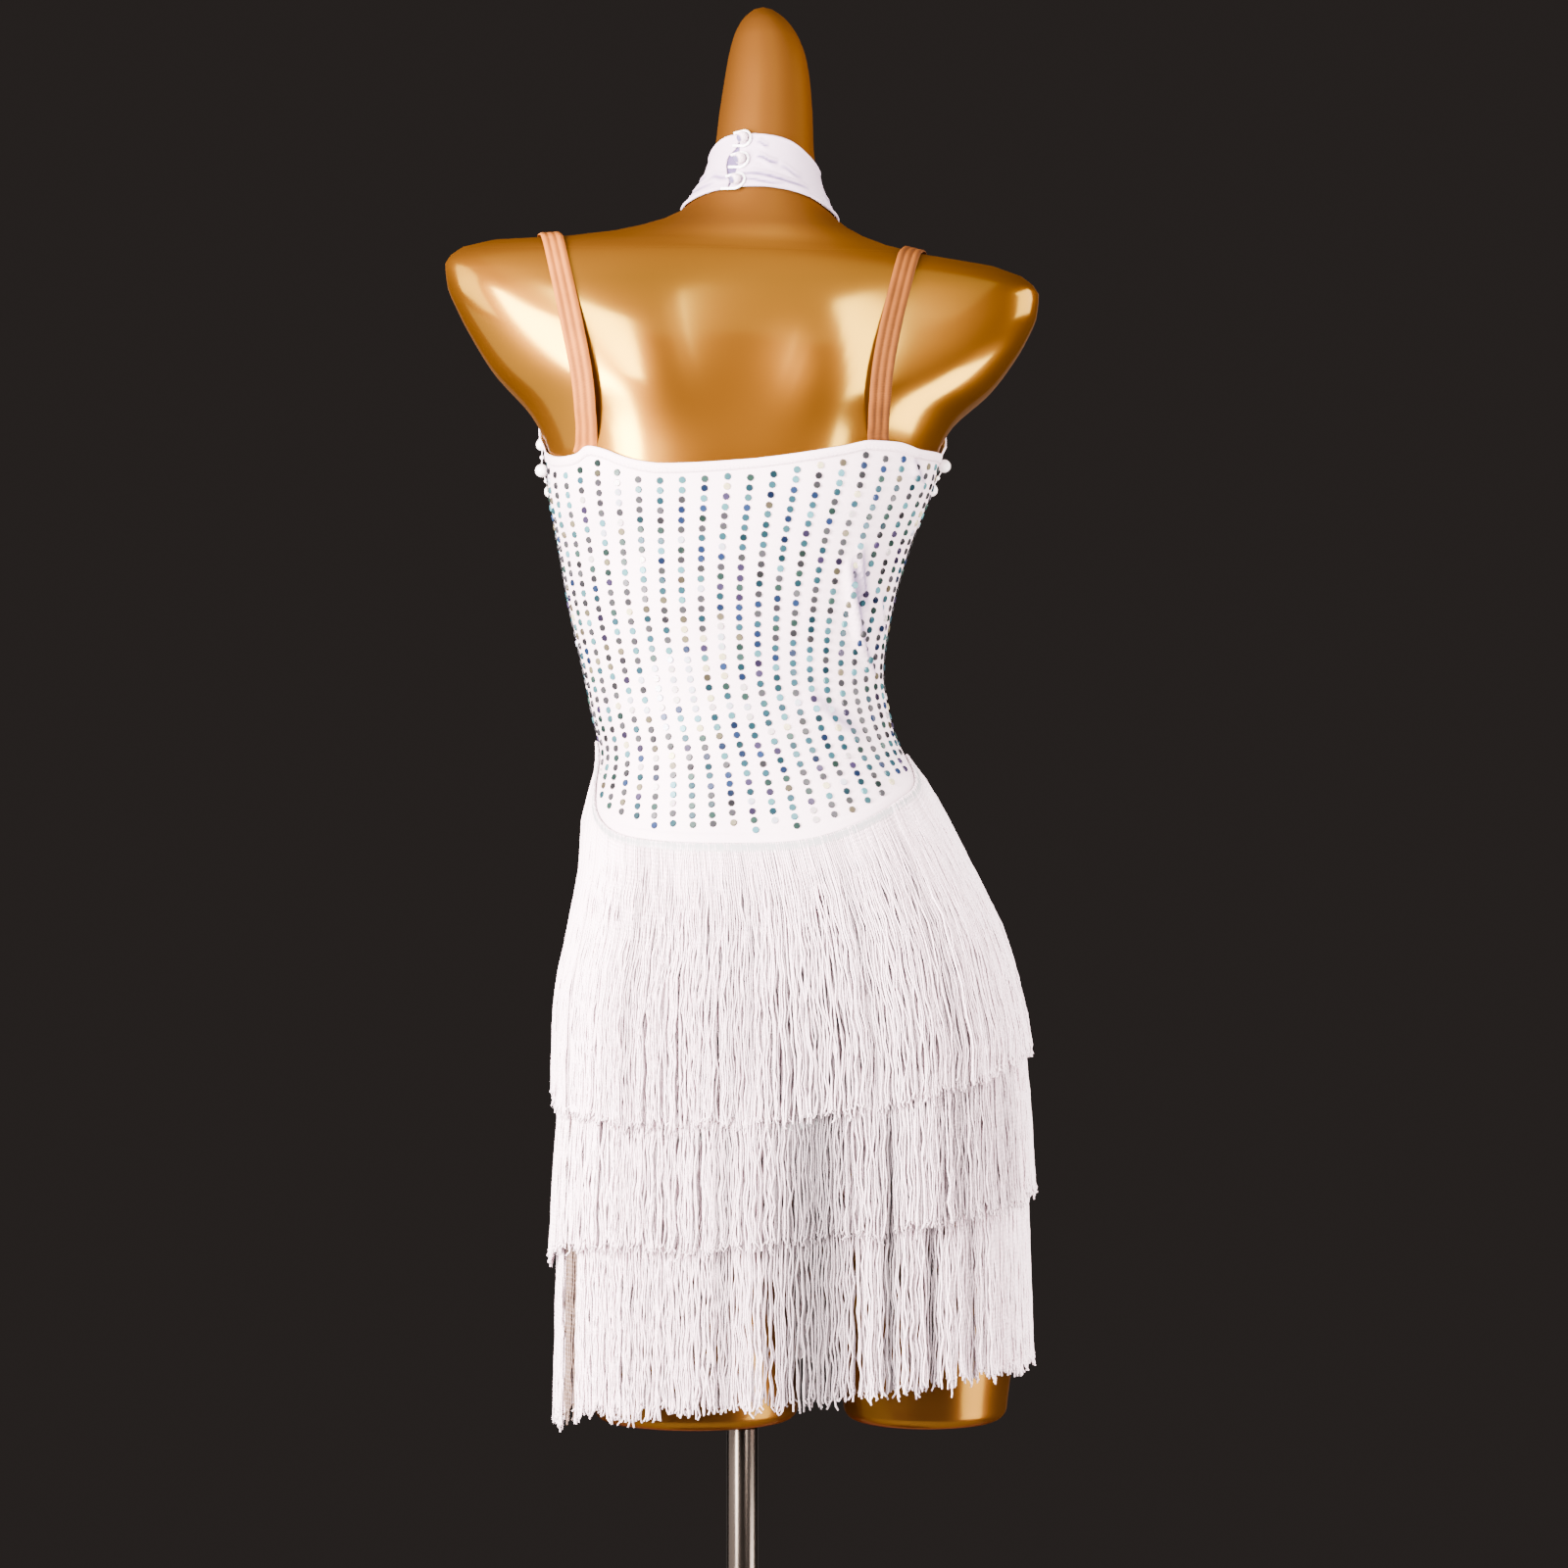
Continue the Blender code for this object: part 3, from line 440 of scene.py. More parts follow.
    def make(self, name: str, finish: "Finish", slot: Slot, nodes: Sequence[str] = ()) -> Object:
        """Make the object and dress it.

        Args:
            name: the object's name.
            finish: its finish.
            slot: not used.
            nodes: the CAD nodes that it stands for.

        Returns:
            The object.
        """
        mesh = bpy.data.meshes.new(name)
        corners = np.concatenate([face.ravel() for face in self.faces])
        sizes = np.concatenate([np.full(len(face), face.shape[1]) for face in self.faces])
        places = np.concatenate([place.reshape(-1, 2) for place in self.places])
        points = np.concatenate(self.points)
        mesh.vertices.add(len(points))
        mesh.vertices.foreach_set("co", points.ravel())
        mesh.loops.add(len(corners))
        mesh.loops.foreach_set("vertex_index", corners)
        mesh.polygons.add(len(sizes))
        mesh.polygons.foreach_set("loop_start", np.concatenate([[0], np.cumsum(sizes)[:-1]]))
        mesh.update(calc_edges=True)
        mesh.uv_layers.new(name="UVMap").data.foreach_set("uv", places.ravel())
        set_tones(mesh, np.concatenate(self.tones))
        mesh.validate()
        mesh.shade_smooth()
        made = bpy.data.objects.new(name, mesh)
        bpy.context.scene.collection.objects.link(made)
        return dressed(made, finish, nodes)


def dressed(piece: Object, finish: "Finish", nodes: Sequence[str] = ()) -> Object:
    """Give a piece its finish, and let it ride and stand for its CAD nodes.

    Args:
        piece: the object.
        finish: its finish.
        nodes: the CAD nodes that it stands for.

    Returns:
        The same object.
    """
    if "tone" not in piece.data.color_attributes:
        set_tones(piece.data, np.ones((len(piece.data.vertices), 3)))
    piece.data.materials.clear()
    piece.data.materials.append(finish.material())
    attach(piece, BODY)
    if nodes:
        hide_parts(*nodes)
    piece.data.calc_loop_triangles()
    log.info("%s: %d triangles", piece.name, len(piece.data.loop_triangles))
    return piece


def set_tones(mesh: bpy.types.Mesh, tones: Array) -> None:
    """Give each point of a mesh its red, green and blue."""
    layer = mesh.color_attributes.new("tone", "FLOAT_COLOR", "POINT")
    layer.data.foreach_set("color", np.concatenate([tones, np.ones((len(tones), 1))], 1).ravel())


def mesh_points(mesh: bpy.types.Mesh) -> Array:
    """The points of a mesh."""
    points = np.empty(len(mesh.vertices) * 3)
    mesh.vertices.foreach_get("co", points)
    return points.reshape(-1, 3)


class Shape(NamedTuple):
    """A small shape that is copied many times: its points and its faces, grouped by number of corners."""

    points: Array
    faces: list[Array]


def net_places(grid: Array) -> Array:
    """Texture places for a net of points: metres along its columns and up its rows.

    Args:
        grid: rows by columns by three.

    Returns:
        Rows by columns by two.
    """
    along, up = distances(grid[len(grid) // 2]), distances(grid).mean(1)[:, None]
    return np.stack(np.broadcast_arrays(along, up), -1)


def surface_frames(places: Array, along: Array, outward: Array) -> Array:
    """Frames for copies on a surface.

    Args:
        places: a point for each copy.
        along: a direction along the surface for each.
        outward: the outward direction of each.

    Returns:
        An array of copies by 4 by 3, as Piece.add_copies takes it.
    """
    outward = unit(outward)
    across = unit(np.cross(np.cross(outward, along), outward))
    return np.stack([across, np.cross(outward, across), outward, places], 1)


# ---- Finishes ----


def math_method(operation: str, swapped: bool = False) -> Callable[["Signal", "Signal | float"], "Signal"]:
    """An operator for Signal that adds a Math node, with the other value first where it is swapped."""

    def method(self: "Signal", other: "Signal | float") -> "Signal":
        """The node's result."""
        return self.maths(operation, *((other, self) if swapped else (self, other)))

    return method


class Signal:
    """A number in a material. Python's operators on it add Math nodes."""

    def __init__(self, board: "Board", socket: Socket) -> None:
        """Wrap a socket of a board's node tree."""
        self.board = board
        self.socket = socket

    def maths(self, operation: str, *values: "Signal | float") -> "Signal":
        """The result of a Math node on the given values."""
        return self.board.signal(0, "Math", dict(enumerate(values)), operation=operation)

    __add__, __radd__ = math_method("ADD"), math_method("ADD", swapped=True)
    __mul__, __rmul__ = math_method("MULTIPLY"), math_method("MULTIPLY", swapped=True)
    __rsub__ = math_method("SUBTRACT", swapped=True)

    def wave(self, pitch: float) -> "Signal":
        """A sine of it, from -1 to 1, that repeats at the given pitch."""
        return self.maths("SINE", self * (TURN / pitch))


Value = Signal | Socket | float | tuple
Values = dict[str | int, Value]


class Board:
    """One material's node tree in the making."""

    def __init__(self, name: str) -> None:
        """An empty material of that name."""
        self.material = bpy.data.materials.new(name)
        self.material.use_nodes = True
        self.tree = self.material.node_tree
        self.tree.nodes.clear()

    def node(self, kind: str, values: Values | None = None, **settings: object) -> bpy.types.Node:
        """Add a node.

        Args:
            kind: the node's type, without ShaderNode.
            values: what each of its sockets gets: a link or a value.
            settings: its properties, set first.

        Returns:
            The node.
        """
        made = self.tree.nodes.new(f"ShaderNode{kind}")
        for name, setting in settings.items():
            setattr(made, name, setting)
        for key, value in (values or {}).items():
            value = value.socket if isinstance(value, Signal) else value
            if isinstance(value, Socket):
                self.tree.links.new(value, made.inputs[key])
            else:
                made.inputs[key].default_value = value
        return made

    def signal(self, output: str | int, kind: str, values: Values, **settings: object) -> Signal:
        """The number that a new node gives at one of its outputs."""
        return Signal(self, self.node(kind, values, **settings).outputs[output])

    def object_place(self, stretch: Triple = (1, 1, 1)) -> Socket:
        """Object coordinates, stretched along the axes."""
        place = self.node("TexCoord").outputs["Object"]
        return self.node("Mapping", {"Vector": place, "Scale": stretch}).outputs["Vector"]

    def cloth_place(self) -> tuple[Signal, Signal]:
        """Metres across and up the cloth, or the share round a cord and metres along it."""
        place = self.node("TexCoord").outputs["UV"]
        parts = self.node("SeparateXYZ", {"Vector": place})
        return Signal(self, parts.outputs["X"]), Signal(self, parts.outputs["Y"])

    def tone(self) -> Socket:
        """The mesh's tone attribute: its colour changes and its painted shade."""
        return self.node("Attribute", attribute_name="tone").outputs["Color"]

    def toned(self, colour: Value) -> Socket:
        """A colour times the mesh's tone attribute, painted shade included."""
        return self.mix(1.0, colour, self.tone(), "MULTIPLY")

    def noise(self, place: Socket, scale: float, detail: float = 2.0) -> Signal:
        """Soft random drift, mostly from 0.3 to 0.7."""
        return self.signal("Fac", "TexNoise", {"Vector": place, "Scale": scale, "Detail": detail})

    def spread(self, value: Signal, low: float, high: float) -> Signal:
        """A number stretched from low-high to 0-1 and held there."""
        return self.signal("Result", "MapRange", {"Value": value, 1: low, 2: high}, clamp=True)

    def mix(self, share: Value, first: Value, second: Value, blend: str = "MIX") -> Socket:
        """Two colours mixed."""
        values = {0: share, 6: first, 7: second}
        return self.node("Mix", values, data_type="RGBA", blend_type=blend).outputs[2]

    def bump(self, height: Signal, distance: float, strength: float = 1.0) -> Socket:
        """A surface direction for relief of the given height in metres."""
        values = {"Height": height, "Distance": distance, "Strength": strength}
        return self.node("Bump", values).outputs["Normal"]

    def shader(self, values: dict[str, Value]) -> Socket:
        """A Principled shader with the given values."""
        return self.node("BsdfPrincipled", values).outputs["BSDF"]

    def shade(self, values: dict[str, Value]) -> None:
        """Finish the material with one Principled shader."""
        self.finish(self.shader(values))

    def finish(self, surface: Socket) -> None:
        """Finish the material with the given surface."""
        self.node("OutputMaterial", {"Surface": surface})


Colour = tuple[float, float, float, float]


@dataclass(frozen=True)
class Finish:
    """A finish. Each kind says in paint() how its material is made."""

    def material(self) -> bpy.types.Material:
        """The finish's material, made on first use."""
        name = type(self).__name__
        made = bpy.data.materials.get(name)
        if made is None:
            board = Board(name)
            self.paint(board)
            made = board.material
        return made

    def paint(self, board: Board) -> None:
        """Add the finish's nodes to the board."""
        raise NotImplementedError


@dataclass(frozen=True)
class GoldLacquer(Finish):
    """Glossy gold lacquer on a moulded torso: a soft metal-flake body under a polished skin."""

    deep: Colour = (0.124, 0.0440, 0.0032, 1)
    light: Colour = (0.155, 0.0570, 0.0045, 1)
    polish: Colour = (0.34, 0.220, 0.020, 1)
    polish_share: float = 0.33
    low_polish: float = 0.06
    worn_polish: float = 0.97
    neck_shade_paint: float = 0.80
    # Painted shade: the dark colour that the gold is mixed towards below the fringe and up the neck.
    under: Colour = (0.064, 0.0240, 0.0046, 1)
    rim: Colour = (0.60, 0.25, 0.04, 1)
    neck_low: float = 1.396
    neck_high: float = 1.440
    shade_top: float = 0.80
    shade_low: float = 0.72

    def paint(self, board: Board) -> None:
        """Add the lacquer's nodes to the board."""
        place = board.object_place()
        drift = board.noise(place, 6.0)
        flake = board.noise(place, 1400.0, 0.0)
        normal = board.bump(flake, 0.00002, 0.5)
        colour = board.mix(board.spread(drift, 0.3, 0.7), self.deep, self.light)
        height = board.signal("Z", "SeparateXYZ", {0: place})
        # Painted shade below the fringe, over the thigh stubs.
        colour = board.mix(board.spread(height, self.shade_top, self.shade_low), colour, self.under)
        # Up the neck the gold is painted darker (painted shade), and it is also made rougher and less
        # polished there.
        shade_paint = board.spread(height, self.neck_low, self.neck_high)
        colour = board.mix(shade_paint * shade_paint * self.neck_shade_paint, colour, self.under)
        body = {
            "Base Color": colour,
            "Metallic": 0.75,
            "Normal": normal,
            "Roughness": 0.35 + 0.06 * drift + 0.28 * shade_paint,
            "Specular IOR Level": 0.0,
            "Specular Tint": self.rim,
        }
        skin = {"Base Color": self.polish, "Metallic": 1.0, "Roughness": 0.13 + 0.05 * drift + 0.22 * shade_paint}
        lit = board.spread(height, self.shade_low, self.shade_top)
        share = lit * (self.polish_share - self.low_polish) + self.low_polish
        share = share * (1 - self.worn_polish * shade_paint)
        layers = {0: share, 1: board.shader(body), 2: board.shader(skin)}
        board.finish(board.node("MixShader", layers).outputs[0])


@dataclass(frozen=True)
class Chrome(Finish):
    """Polished chrome, faintly drawn along the tube."""

    bright: Colour = (0.105, 0.088, 0.072, 1)
    dull: Colour = (0.070, 0.058, 0.047, 1)

    def paint(self, board: Board) -> None:
        """Add the chrome's nodes to the board."""
        drawn = board.noise(board.object_place((1, 1, 0.02)), 500.0)
        smear = board.noise(board.object_place(), 18.0)
        board.shade(
            {
                "Base Color": board.mix(smear, self.bright, self.dull),
                "Metallic": 1.0,
                "Roughness": 0.16 + 0.10 * drawn + 0.05 * smear,
                "Normal": board.bump(drawn, 0.00002, 0.3),
            }
        )


@dataclass(frozen=True)
class StretchKnit(Finish):
    """White satin stretch knit: fine ribs of stitches, with a faint lilac in its shade."""

    white: Colour = (0.84, 0.670, 0.712, 1)
    shade_white: Colour = (0.75, 0.585, 0.640, 1)
    rib: float = 0.0008
    course: float = 0.0006

    def paint(self, board: Board) -> None:
        """Add the knit's nodes to the board."""
        across, up = board.cloth_place()
        drift = board.noise(board.object_place(), 11.0)
        ribs = across.wave(self.rib)
        stitches = (up + across * 0.35).wave(self.course) * (0.5 + 0.5 * ribs)
        colour = board.mix(board.spread(drift, 0.42, 0.72), self.white, self.shade_white)
        board.shade(
            {
                "Base Color": board.toned(colour),
                "Roughness": 0.46 + 0.12 * drift,
                "Sheen Weight": 0.25,
                "Sheen Roughness": 0.4,
                "Normal": board.bump(ribs + stitches, 0.00005, 0.5),
            }
        )


@dataclass(frozen=True)
class FringeYarn(Finish):
    """Chainette yarn: soft white, looped into a twisted chain."""

    chain: float = 0.0032
    groove_shade_colour: Colour = (0.40, 0.31, 0.34, 1)

    def paint(self, board: Board) -> None:
        """Add the yarn's nodes to the board."""
        around, along = board.cloth_place()
        twist = (around + along * (1 / self.chain)).wave(1.0)
        fluff = board.noise(board.object_place((1, 1, 0.25)), 700.0)
        # Painted shade in the grooves of the twisted chain.
        groove = board.spread(twist, -1.0, -0.2)
        board.shade(
            {
                "Base Color": board.mix(groove * 0.20 + 0.80, self.groove_shade_colour, board.tone()),
                "Roughness": 0.50 + 0.15 * fluff,
                "Sheen Weight": 0.3,
                "Sheen Roughness": 0.5,
                "Normal": board.bump(twist + fluff, 0.00015, 0.6),
            }
        )


@dataclass(frozen=True)
class SkinElastic(Finish):
    """Skin-coloured ribbed elastic, woven across its ribs."""

    light: Colour = (0.32, 0.098, 0.012, 1)
    dark: Colour = (0.13, 0.038, 0.004, 1)
    width: float = 0.0155
    ribs: int = 3
    pick: float = 0.0011

    def paint(self, board: Board) -> None:
        """Add the elastic's nodes to the board."""
        across, along = board.cloth_place()
        ridge = across.wave(self.width / self.ribs)
        pick = along.wave(self.pick)
        wear = board.noise(board.object_place(), 60.0)
        # Painted shade across the ribs: the crests take the light colour and the grooves between them take
        # the dark one, with the weave's picks and random wear mixed in.
        share = board.spread(ridge * 0.6 + pick * 0.25 + wear, -0.4, 1.3)
        board.shade(
            {
                "Base Color": board.toned(board.mix(share, self.dark, self.light)),
                "Roughness": 0.62 + 0.1 * wear,
                "Specular IOR Level": 0.1,
                "Normal": board.bump(pick + 0.5 * ridge, 0.00012, 0.6),
            }
        )


@dataclass(frozen=True)
class PearlLustre(Finish):
    """Pearl beads: a milky body under a clear skin, warmer towards the edge."""

    body: Colour = (0.88, 0.85, 0.83, 1)
    edge: Colour = (0.78, 0.70, 0.70, 1)

    def paint(self, board: Board) -> None:
        """Add the pearl's nodes to the board."""
        facing = board.signal("Facing", "LayerWeight", {"Blend": 0.3})
        cloud = board.noise(board.object_place(), 240.0)
        board.shade(
            {
                "Base Color": board.mix(facing * 0.7 + cloud * 0.2, self.body, self.edge),
                "Roughness": 0.16 + 0.12 * cloud,
                "Coat Weight": 1.0,
                "Coat Roughness": 0.05,
            }
        )


@dataclass(frozen=True)
class Crystal(Finish):
    """Foiled crystal with an iridescent coating: each facet leans to another hue."""

    violet: Colour = (0.62, 0.42, 0.95, 1)
    green: Colour = (0.50, 1.0, 0.62, 1)

    def paint(self, board: Board) -> None:
        """Add the crystal's nodes to the board."""
        facet = board.spread(board.noise(board.object_place(), 900.0, 0.0), 0.35, 0.65)
        hue = board.mix(facet, self.violet, self.green)
        board.shade(
            {
                "Base Color": board.mix(0.35, board.tone(), hue, "MULTIPLY"),
                "Metallic": 0.1,
                "Roughness": 0.16 + 0.1 * facet,
                "Specular IOR Level": 0.10,
            }
        )


@dataclass(frozen=True)
class StudioFloor(Finish):
    """The plain pale floor."""

    pale: Colour = (0.48, 0.47, 0.46, 1)

    def paint(self, board: Board) -> None:
        """Add the floor's nodes to the board."""
        board.shade({"Base Color": self.pale, "Roughness": 0.7})


# ---- The gold torso ----


class ThighRow(NamedTuple):
    """One level of a thigh stub."""

    height: float
    centre: float
    half_width: float
    back: float
    front: float


@dataclass
class Torso:
    """The display form: a torso with two thigh stubs and a neck block."""

    figure: Figure
    columns: int = 144
    ring_pitch: float = 0.006
    dome_from: float = 1.585
    dome_rings: int = 9
    crotch_arch: float = 0.014
    crotch_points: int = 31
    thigh_steps: int = 9
    heel_drop: float = 0.010
    heel_inset: float = 0.008
    heel_steps: int = 6
    flat_share: float = 0.96
    left_thigh: tuple[ThighRow, ...] = (
        ThighRow(0.740, -0.044, 0.079, -0.099, 0.070),
        ThighRow(0.680, -0.041, 0.078, -0.091, 0.067),
        ThighRow(0.620, -0.037, 0.077, -0.085, 0.065),
        ThighRow(0.580, -0.034, 0.075, -0.081, 0.063),
    )
    right_thigh: tuple[ThighRow, ...] = (
        ThighRow(0.740, 0.118, 0.079, -0.097, 0.070),
        ThighRow(0.680, 0.123, 0.075, -0.089, 0.067),
        ThighRow(0.620, 0.131, 0.067, -0.082, 0.064),
        ThighRow(0.580, 0.134, 0.060, -0.074, 0.060),
    )

    def rings(self) -> Array:
        """The rings from the crotch to the neck block's dome."""
        low, high = self.figure.rows[0].height, self.figure.rows[-1].height
        dome = np.linspace(self.dome_from, high, self.dome_rings)
        levels = np.concatenate([np.arange(low, self.dome_from, self.ring_pitch), dome])
        angle = np.arange(self.columns) * 360 / self.columns
        return self.figure.section(angle, levels[:, None], levels[:, None])

    def thigh_ring(self, row: ThighRow, angle: Array, inset: float = 0.0, drop: float = 0.0) -> Array:
        """One level of a thigh stub, drawn in and lowered for its rounded end."""
        middle, reach = (row.back + row.front) / 2, (row.front - row.back) / 2 - inset
        across = row.centre + (row.half_width - inset) * np.cos(np.radians(angle))
        depth = middle + reach * np.sin(np.radians(angle))
        return np.stack([across, depth, np.full_like(across, row.height - drop)], -1)

    def thigh(self, loop: Array, above: Array, rows: Sequence[ThighRow], angle: Array) -> Array:
        """The rings of one thigh stub, from the torso's loop down to its flat end.

        Args:
            loop: the torso's points that it starts from.
            above: the points above those, for the direction it starts in.
            rows: the stub's levels.
            angle: degrees round the stub for each point of the loop.

        Returns:
            Rings by points by three.
        """
        knots = [above, loop, *(self.thigh_ring(row, angle) for row in rows)]
        knots.append(2 * knots[-1] - knots[-2])
        rings = []
        for before, start, end, after in zip(knots, knots[1:], knots[2:], knots[3:]):
            for t in np.arange(1, self.thigh_steps + 1) / self.thigh_steps:
                rise, fall = (end - before) / 2, (after - start) / 2
                bend = (2 * t**3 - 3 * t**2 + 1) * start + (t**3 - 2 * t**2 + t) * rise
                rings.append(bend + (3 * t**2 - 2 * t**3) * end + (t**3 - t**2) * fall)
        for turn in np.radians(np.linspace(0, 90, self.heel_steps + 1)[1:]):
            inset = self.heel_inset * (1 - math.cos(turn))
            rings.append(self.thigh_ring(rows[-1], angle, inset, self.heel_drop * math.sin(turn)))
        centre = rings[-1].mean(0)
        rings.append(centre + (rings[-1] - centre) * self.flat_share)
        return np.stack(rings)

    def build(self) -> Object:
        """Build and dress the torso.

        Returns:
            The torso's object, which stands for its CAD node.
        """
        piece = Piece()
        rings = self.rings()
        numbers = piece.add_points(rings)
        piece.add_net(numbers, np.zeros(2), wrap=True)
        last, rim = self.figure.rows[-1], numbers[-1]
        crown = piece.add_points(np.array([[last.centre, last.side, self.figure.top]]))
        piece.add_faces(np.stack([rim, np.roll(rim, -1), np.broadcast_to(crown, rim.shape)], -1))

        quarter = self.columns // 4
        front, back = rings[0][quarter], rings[0][3 * quarter]
        share = np.linspace(0, 1, self.crotch_points + 2)[1:-1]
        crotch = back + (front - back) * share[:, None]
        crotch[:, 2] += self.crotch_arch * np.sin(np.pi * share)
        bridge = piece.add_points(crotch)
        outer = np.linspace(90, 270, 2 * quarter + 1)
        inner = np.linspace(270, 450, self.crotch_points + 2)[1:-1]
        above = crotch + np.array([0, 0, self.crotch_arch])
        columns = np.arange(self.columns + quarter + 1)
        sides = (
            (columns[quarter : 3 * quarter + 1], 1, self.left_thigh, 0),
            (columns[3 * quarter :] % self.columns, -1, self.right_thigh, 180),
        )
        for around, way, rows, turn in sides:
            loop = np.concatenate([rings[0][around], crotch[::way]])
            upper = np.concatenate([rings[self.thigh_steps - 1][around], above[::way]])
            stub = self.thigh(loop, upper, rows, np.concatenate([outer, inner]) + turn)
            chain = np.concatenate([numbers[0][around], bridge[::way]])
            below = np.concatenate([chain[None], piece.add_points(stub)])
            piece.add_net(below[::-1], np.zeros(2), wrap=True)
            middle = piece.add_points(stub[-1].mean(0)[None])
            end = below[-1]
            piece.add_faces(np.stack([np.roll(end, -1), end, np.broadcast_to(middle, end.shape)], -1))
        return piece.make("gold_torso", GoldLacquer(), Slot.GOLD, ["display_form"])


# ---- The stand ----


class Bench:
    """Hand modelling with Blender's operators, one piece at a time."""

    @staticmethod
    def clear() -> None:
        """Deselect everything."""
        bpy.ops.object.select_all(action="DESELECT")

    @staticmethod
    def begin(name: str) -> Object:
        """Name the primitive that was just added and open it in edit mode with faces to pick."""
        made = bpy.context.object
        made.name = made.data.name = name
        bpy.ops.object.mode_set(mode="EDIT")
        bpy.ops.mesh.select_mode(type="FACE")
        bpy.ops.mesh.select_all(action="DESELECT")
        return made

    @staticmethod
    def cylinder(name: str, sides: int, radius: float, low: float, high: float) -> Object:
        """Begin with a cylinder round the Z axis, from one height to another."""
        Bench.clear()
        bpy.ops.mesh.primitive_cylinder_add(
            vertices=sides, radius=radius, depth=high - low, location=(0, 0, (low + high) / 2)
        )
        return Bench.begin(name)

    @staticmethod
    def ball(name: str, sides: int, rings: int, radius: float, centre: Sequence[float]) -> Object:
        """Begin with a ball."""
        Bench.clear()
        bpy.ops.mesh.primitive_uv_sphere_add(
            segments=sides, ring_count=rings, radius=radius, location=tuple(centre)
        )
        return Bench.begin(name)

    @staticmethod
    def pick(made: Object, test: Callable[[bpy.types.MeshPolygon], bool]) -> None:
        """Select the faces that pass a test, and no others."""
        bpy.ops.object.mode_set(mode="OBJECT")
        for polygon in made.data.polygons:
            polygon.select = test(polygon)
        bpy.ops.object.mode_set(mode="EDIT")

    @staticmethod
    def finish(made: Object, sharp: float = 40.0) -> Object:
        """Leave edit mode, turn the faces outwards, put the place in the mesh and shade it smooth."""
        bpy.ops.mesh.select_all(action="SELECT")
        bpy.ops.mesh.normals_make_consistent(inside=False)
        bpy.ops.object.mode_set(mode="OBJECT")
        bpy.ops.object.transform_apply(location=True, rotation=True, scale=True)
        bpy.ops.object.shade_smooth_by_angle(angle=math.radians(sharp))
        Bench.clear()
        return made


@dataclass
class Stand:
    """The tube under the left thigh stub and the heavy round foot that it stands in."""

    pole_radius: float = 0.0115
    pole_low: float = 0.0063
    pole_high: float = 0.5617
    pole_rounding: float = 0.0008
    foot_radius: float = 0.170
    foot_rounding: float = 0.0015
    edge: float = 0.008
    hub_radius: float = 0.022
    hub_height: float = 0.046
    bore_radius: float = 0.0119
    bore_floor: float = 0.006
    sides: int = 128
    upright: float = 0.9
    slope: Table = ((0.020, 0.0007), (0.055, 0.0020), (0.055, 0.0010), (0.015, 0.0003))
    collar_steps: Table = ((0.0013, 0.0004), (0.0012, 0.0012), (0.0005, 0.0014))
    hub_rounding: Table = ((0.0006, 0.0014), (0.0010, 0.0009), (0.0014, 0.0006))

    def pole(self) -> Object:
        """The tube, with rounded ends."""
        sides = self.sides // 2
        made = Bench.cylinder("chrome_pole", sides, self.pole_radius, self.pole_low, self.pole_high)
        Bench.pick(made, lambda face: abs(face.normal.z) > self.upright)
        bpy.ops.mesh.bevel(offset=self.pole_rounding, segments=3, affect="EDGES")
        Bench.finish(made)
        return dressed(made, Chrome(), ["stand_pole"])

    def foot(self) -> Object:
        """The foot: a low dome that rises to a hub, which is bored for the tube."""
        made = Bench.cylinder("chrome_foot", self.sides, self.foot_radius, 0, self.edge)
        Bench.pick(made, lambda face: face.normal.z > self.upright)
        bpy.ops.mesh.bevel(offset=self.foot_rounding, segments=3, affect="EDGES")
        reach, height = self.foot_radius - self.foot_rounding, self.edge
        Bench.pick(made, lambda face: face.normal.z > self.upright and len(face.vertices) > 4)
        for inset, rise in (*self.slope, *self.collar_steps):
            bpy.ops.mesh.inset(thickness=inset, depth=rise)
            reach, height = reach - inset, height + rise
        bpy.ops.mesh.inset(thickness=reach - self.hub_radius, depth=0)
        wall = self.hub_height - height - sum(rise for _, rise in self.hub_rounding)
        bpy.ops.mesh.extrude_region_move(TRANSFORM_OT_translate={"value": (0, 0, wall)})
        reach = self.hub_radius
        for inset, rise in self.hub_rounding:
            bpy.ops.mesh.inset(thickness=inset, depth=rise)
            reach -= inset
        bpy.ops.mesh.inset(thickness=reach - self.bore_radius, depth=0)
        bore = self.bore_floor - self.hub_height
        bpy.ops.mesh.extrude_region_move(TRANSFORM_OT_translate={"value": (0, 0, bore)})
        Bench.finish(made)
        return dressed(made, Chrome(), ["stand_foot"])


# ---- The bodice ----


class Crease(NamedTuple):
    """A soft ridge in tight cloth, with a trough beside it. Its ends are degrees round the body, and a
    height on the bodice or a share of the width on the collar."""

    start: Pair
    end: Pair
    width: float
    rise: float


@dataclass(frozen=True)
class Layers:
    """How far the dress's layers stand off the form."""

    skin_gap: float = 0.0013
    cloth: float = 0.0012
    seam_gap: float = 0.0004

    @property
    def wall_out(self) -> float:
        """The cloth's outer side."""
        return self.skin_gap + self.cloth

    @property
    def trim_in(self) -> float:
        """The inner side of what is sewn on the cloth."""
        return self.wall_out + self.seam_gap


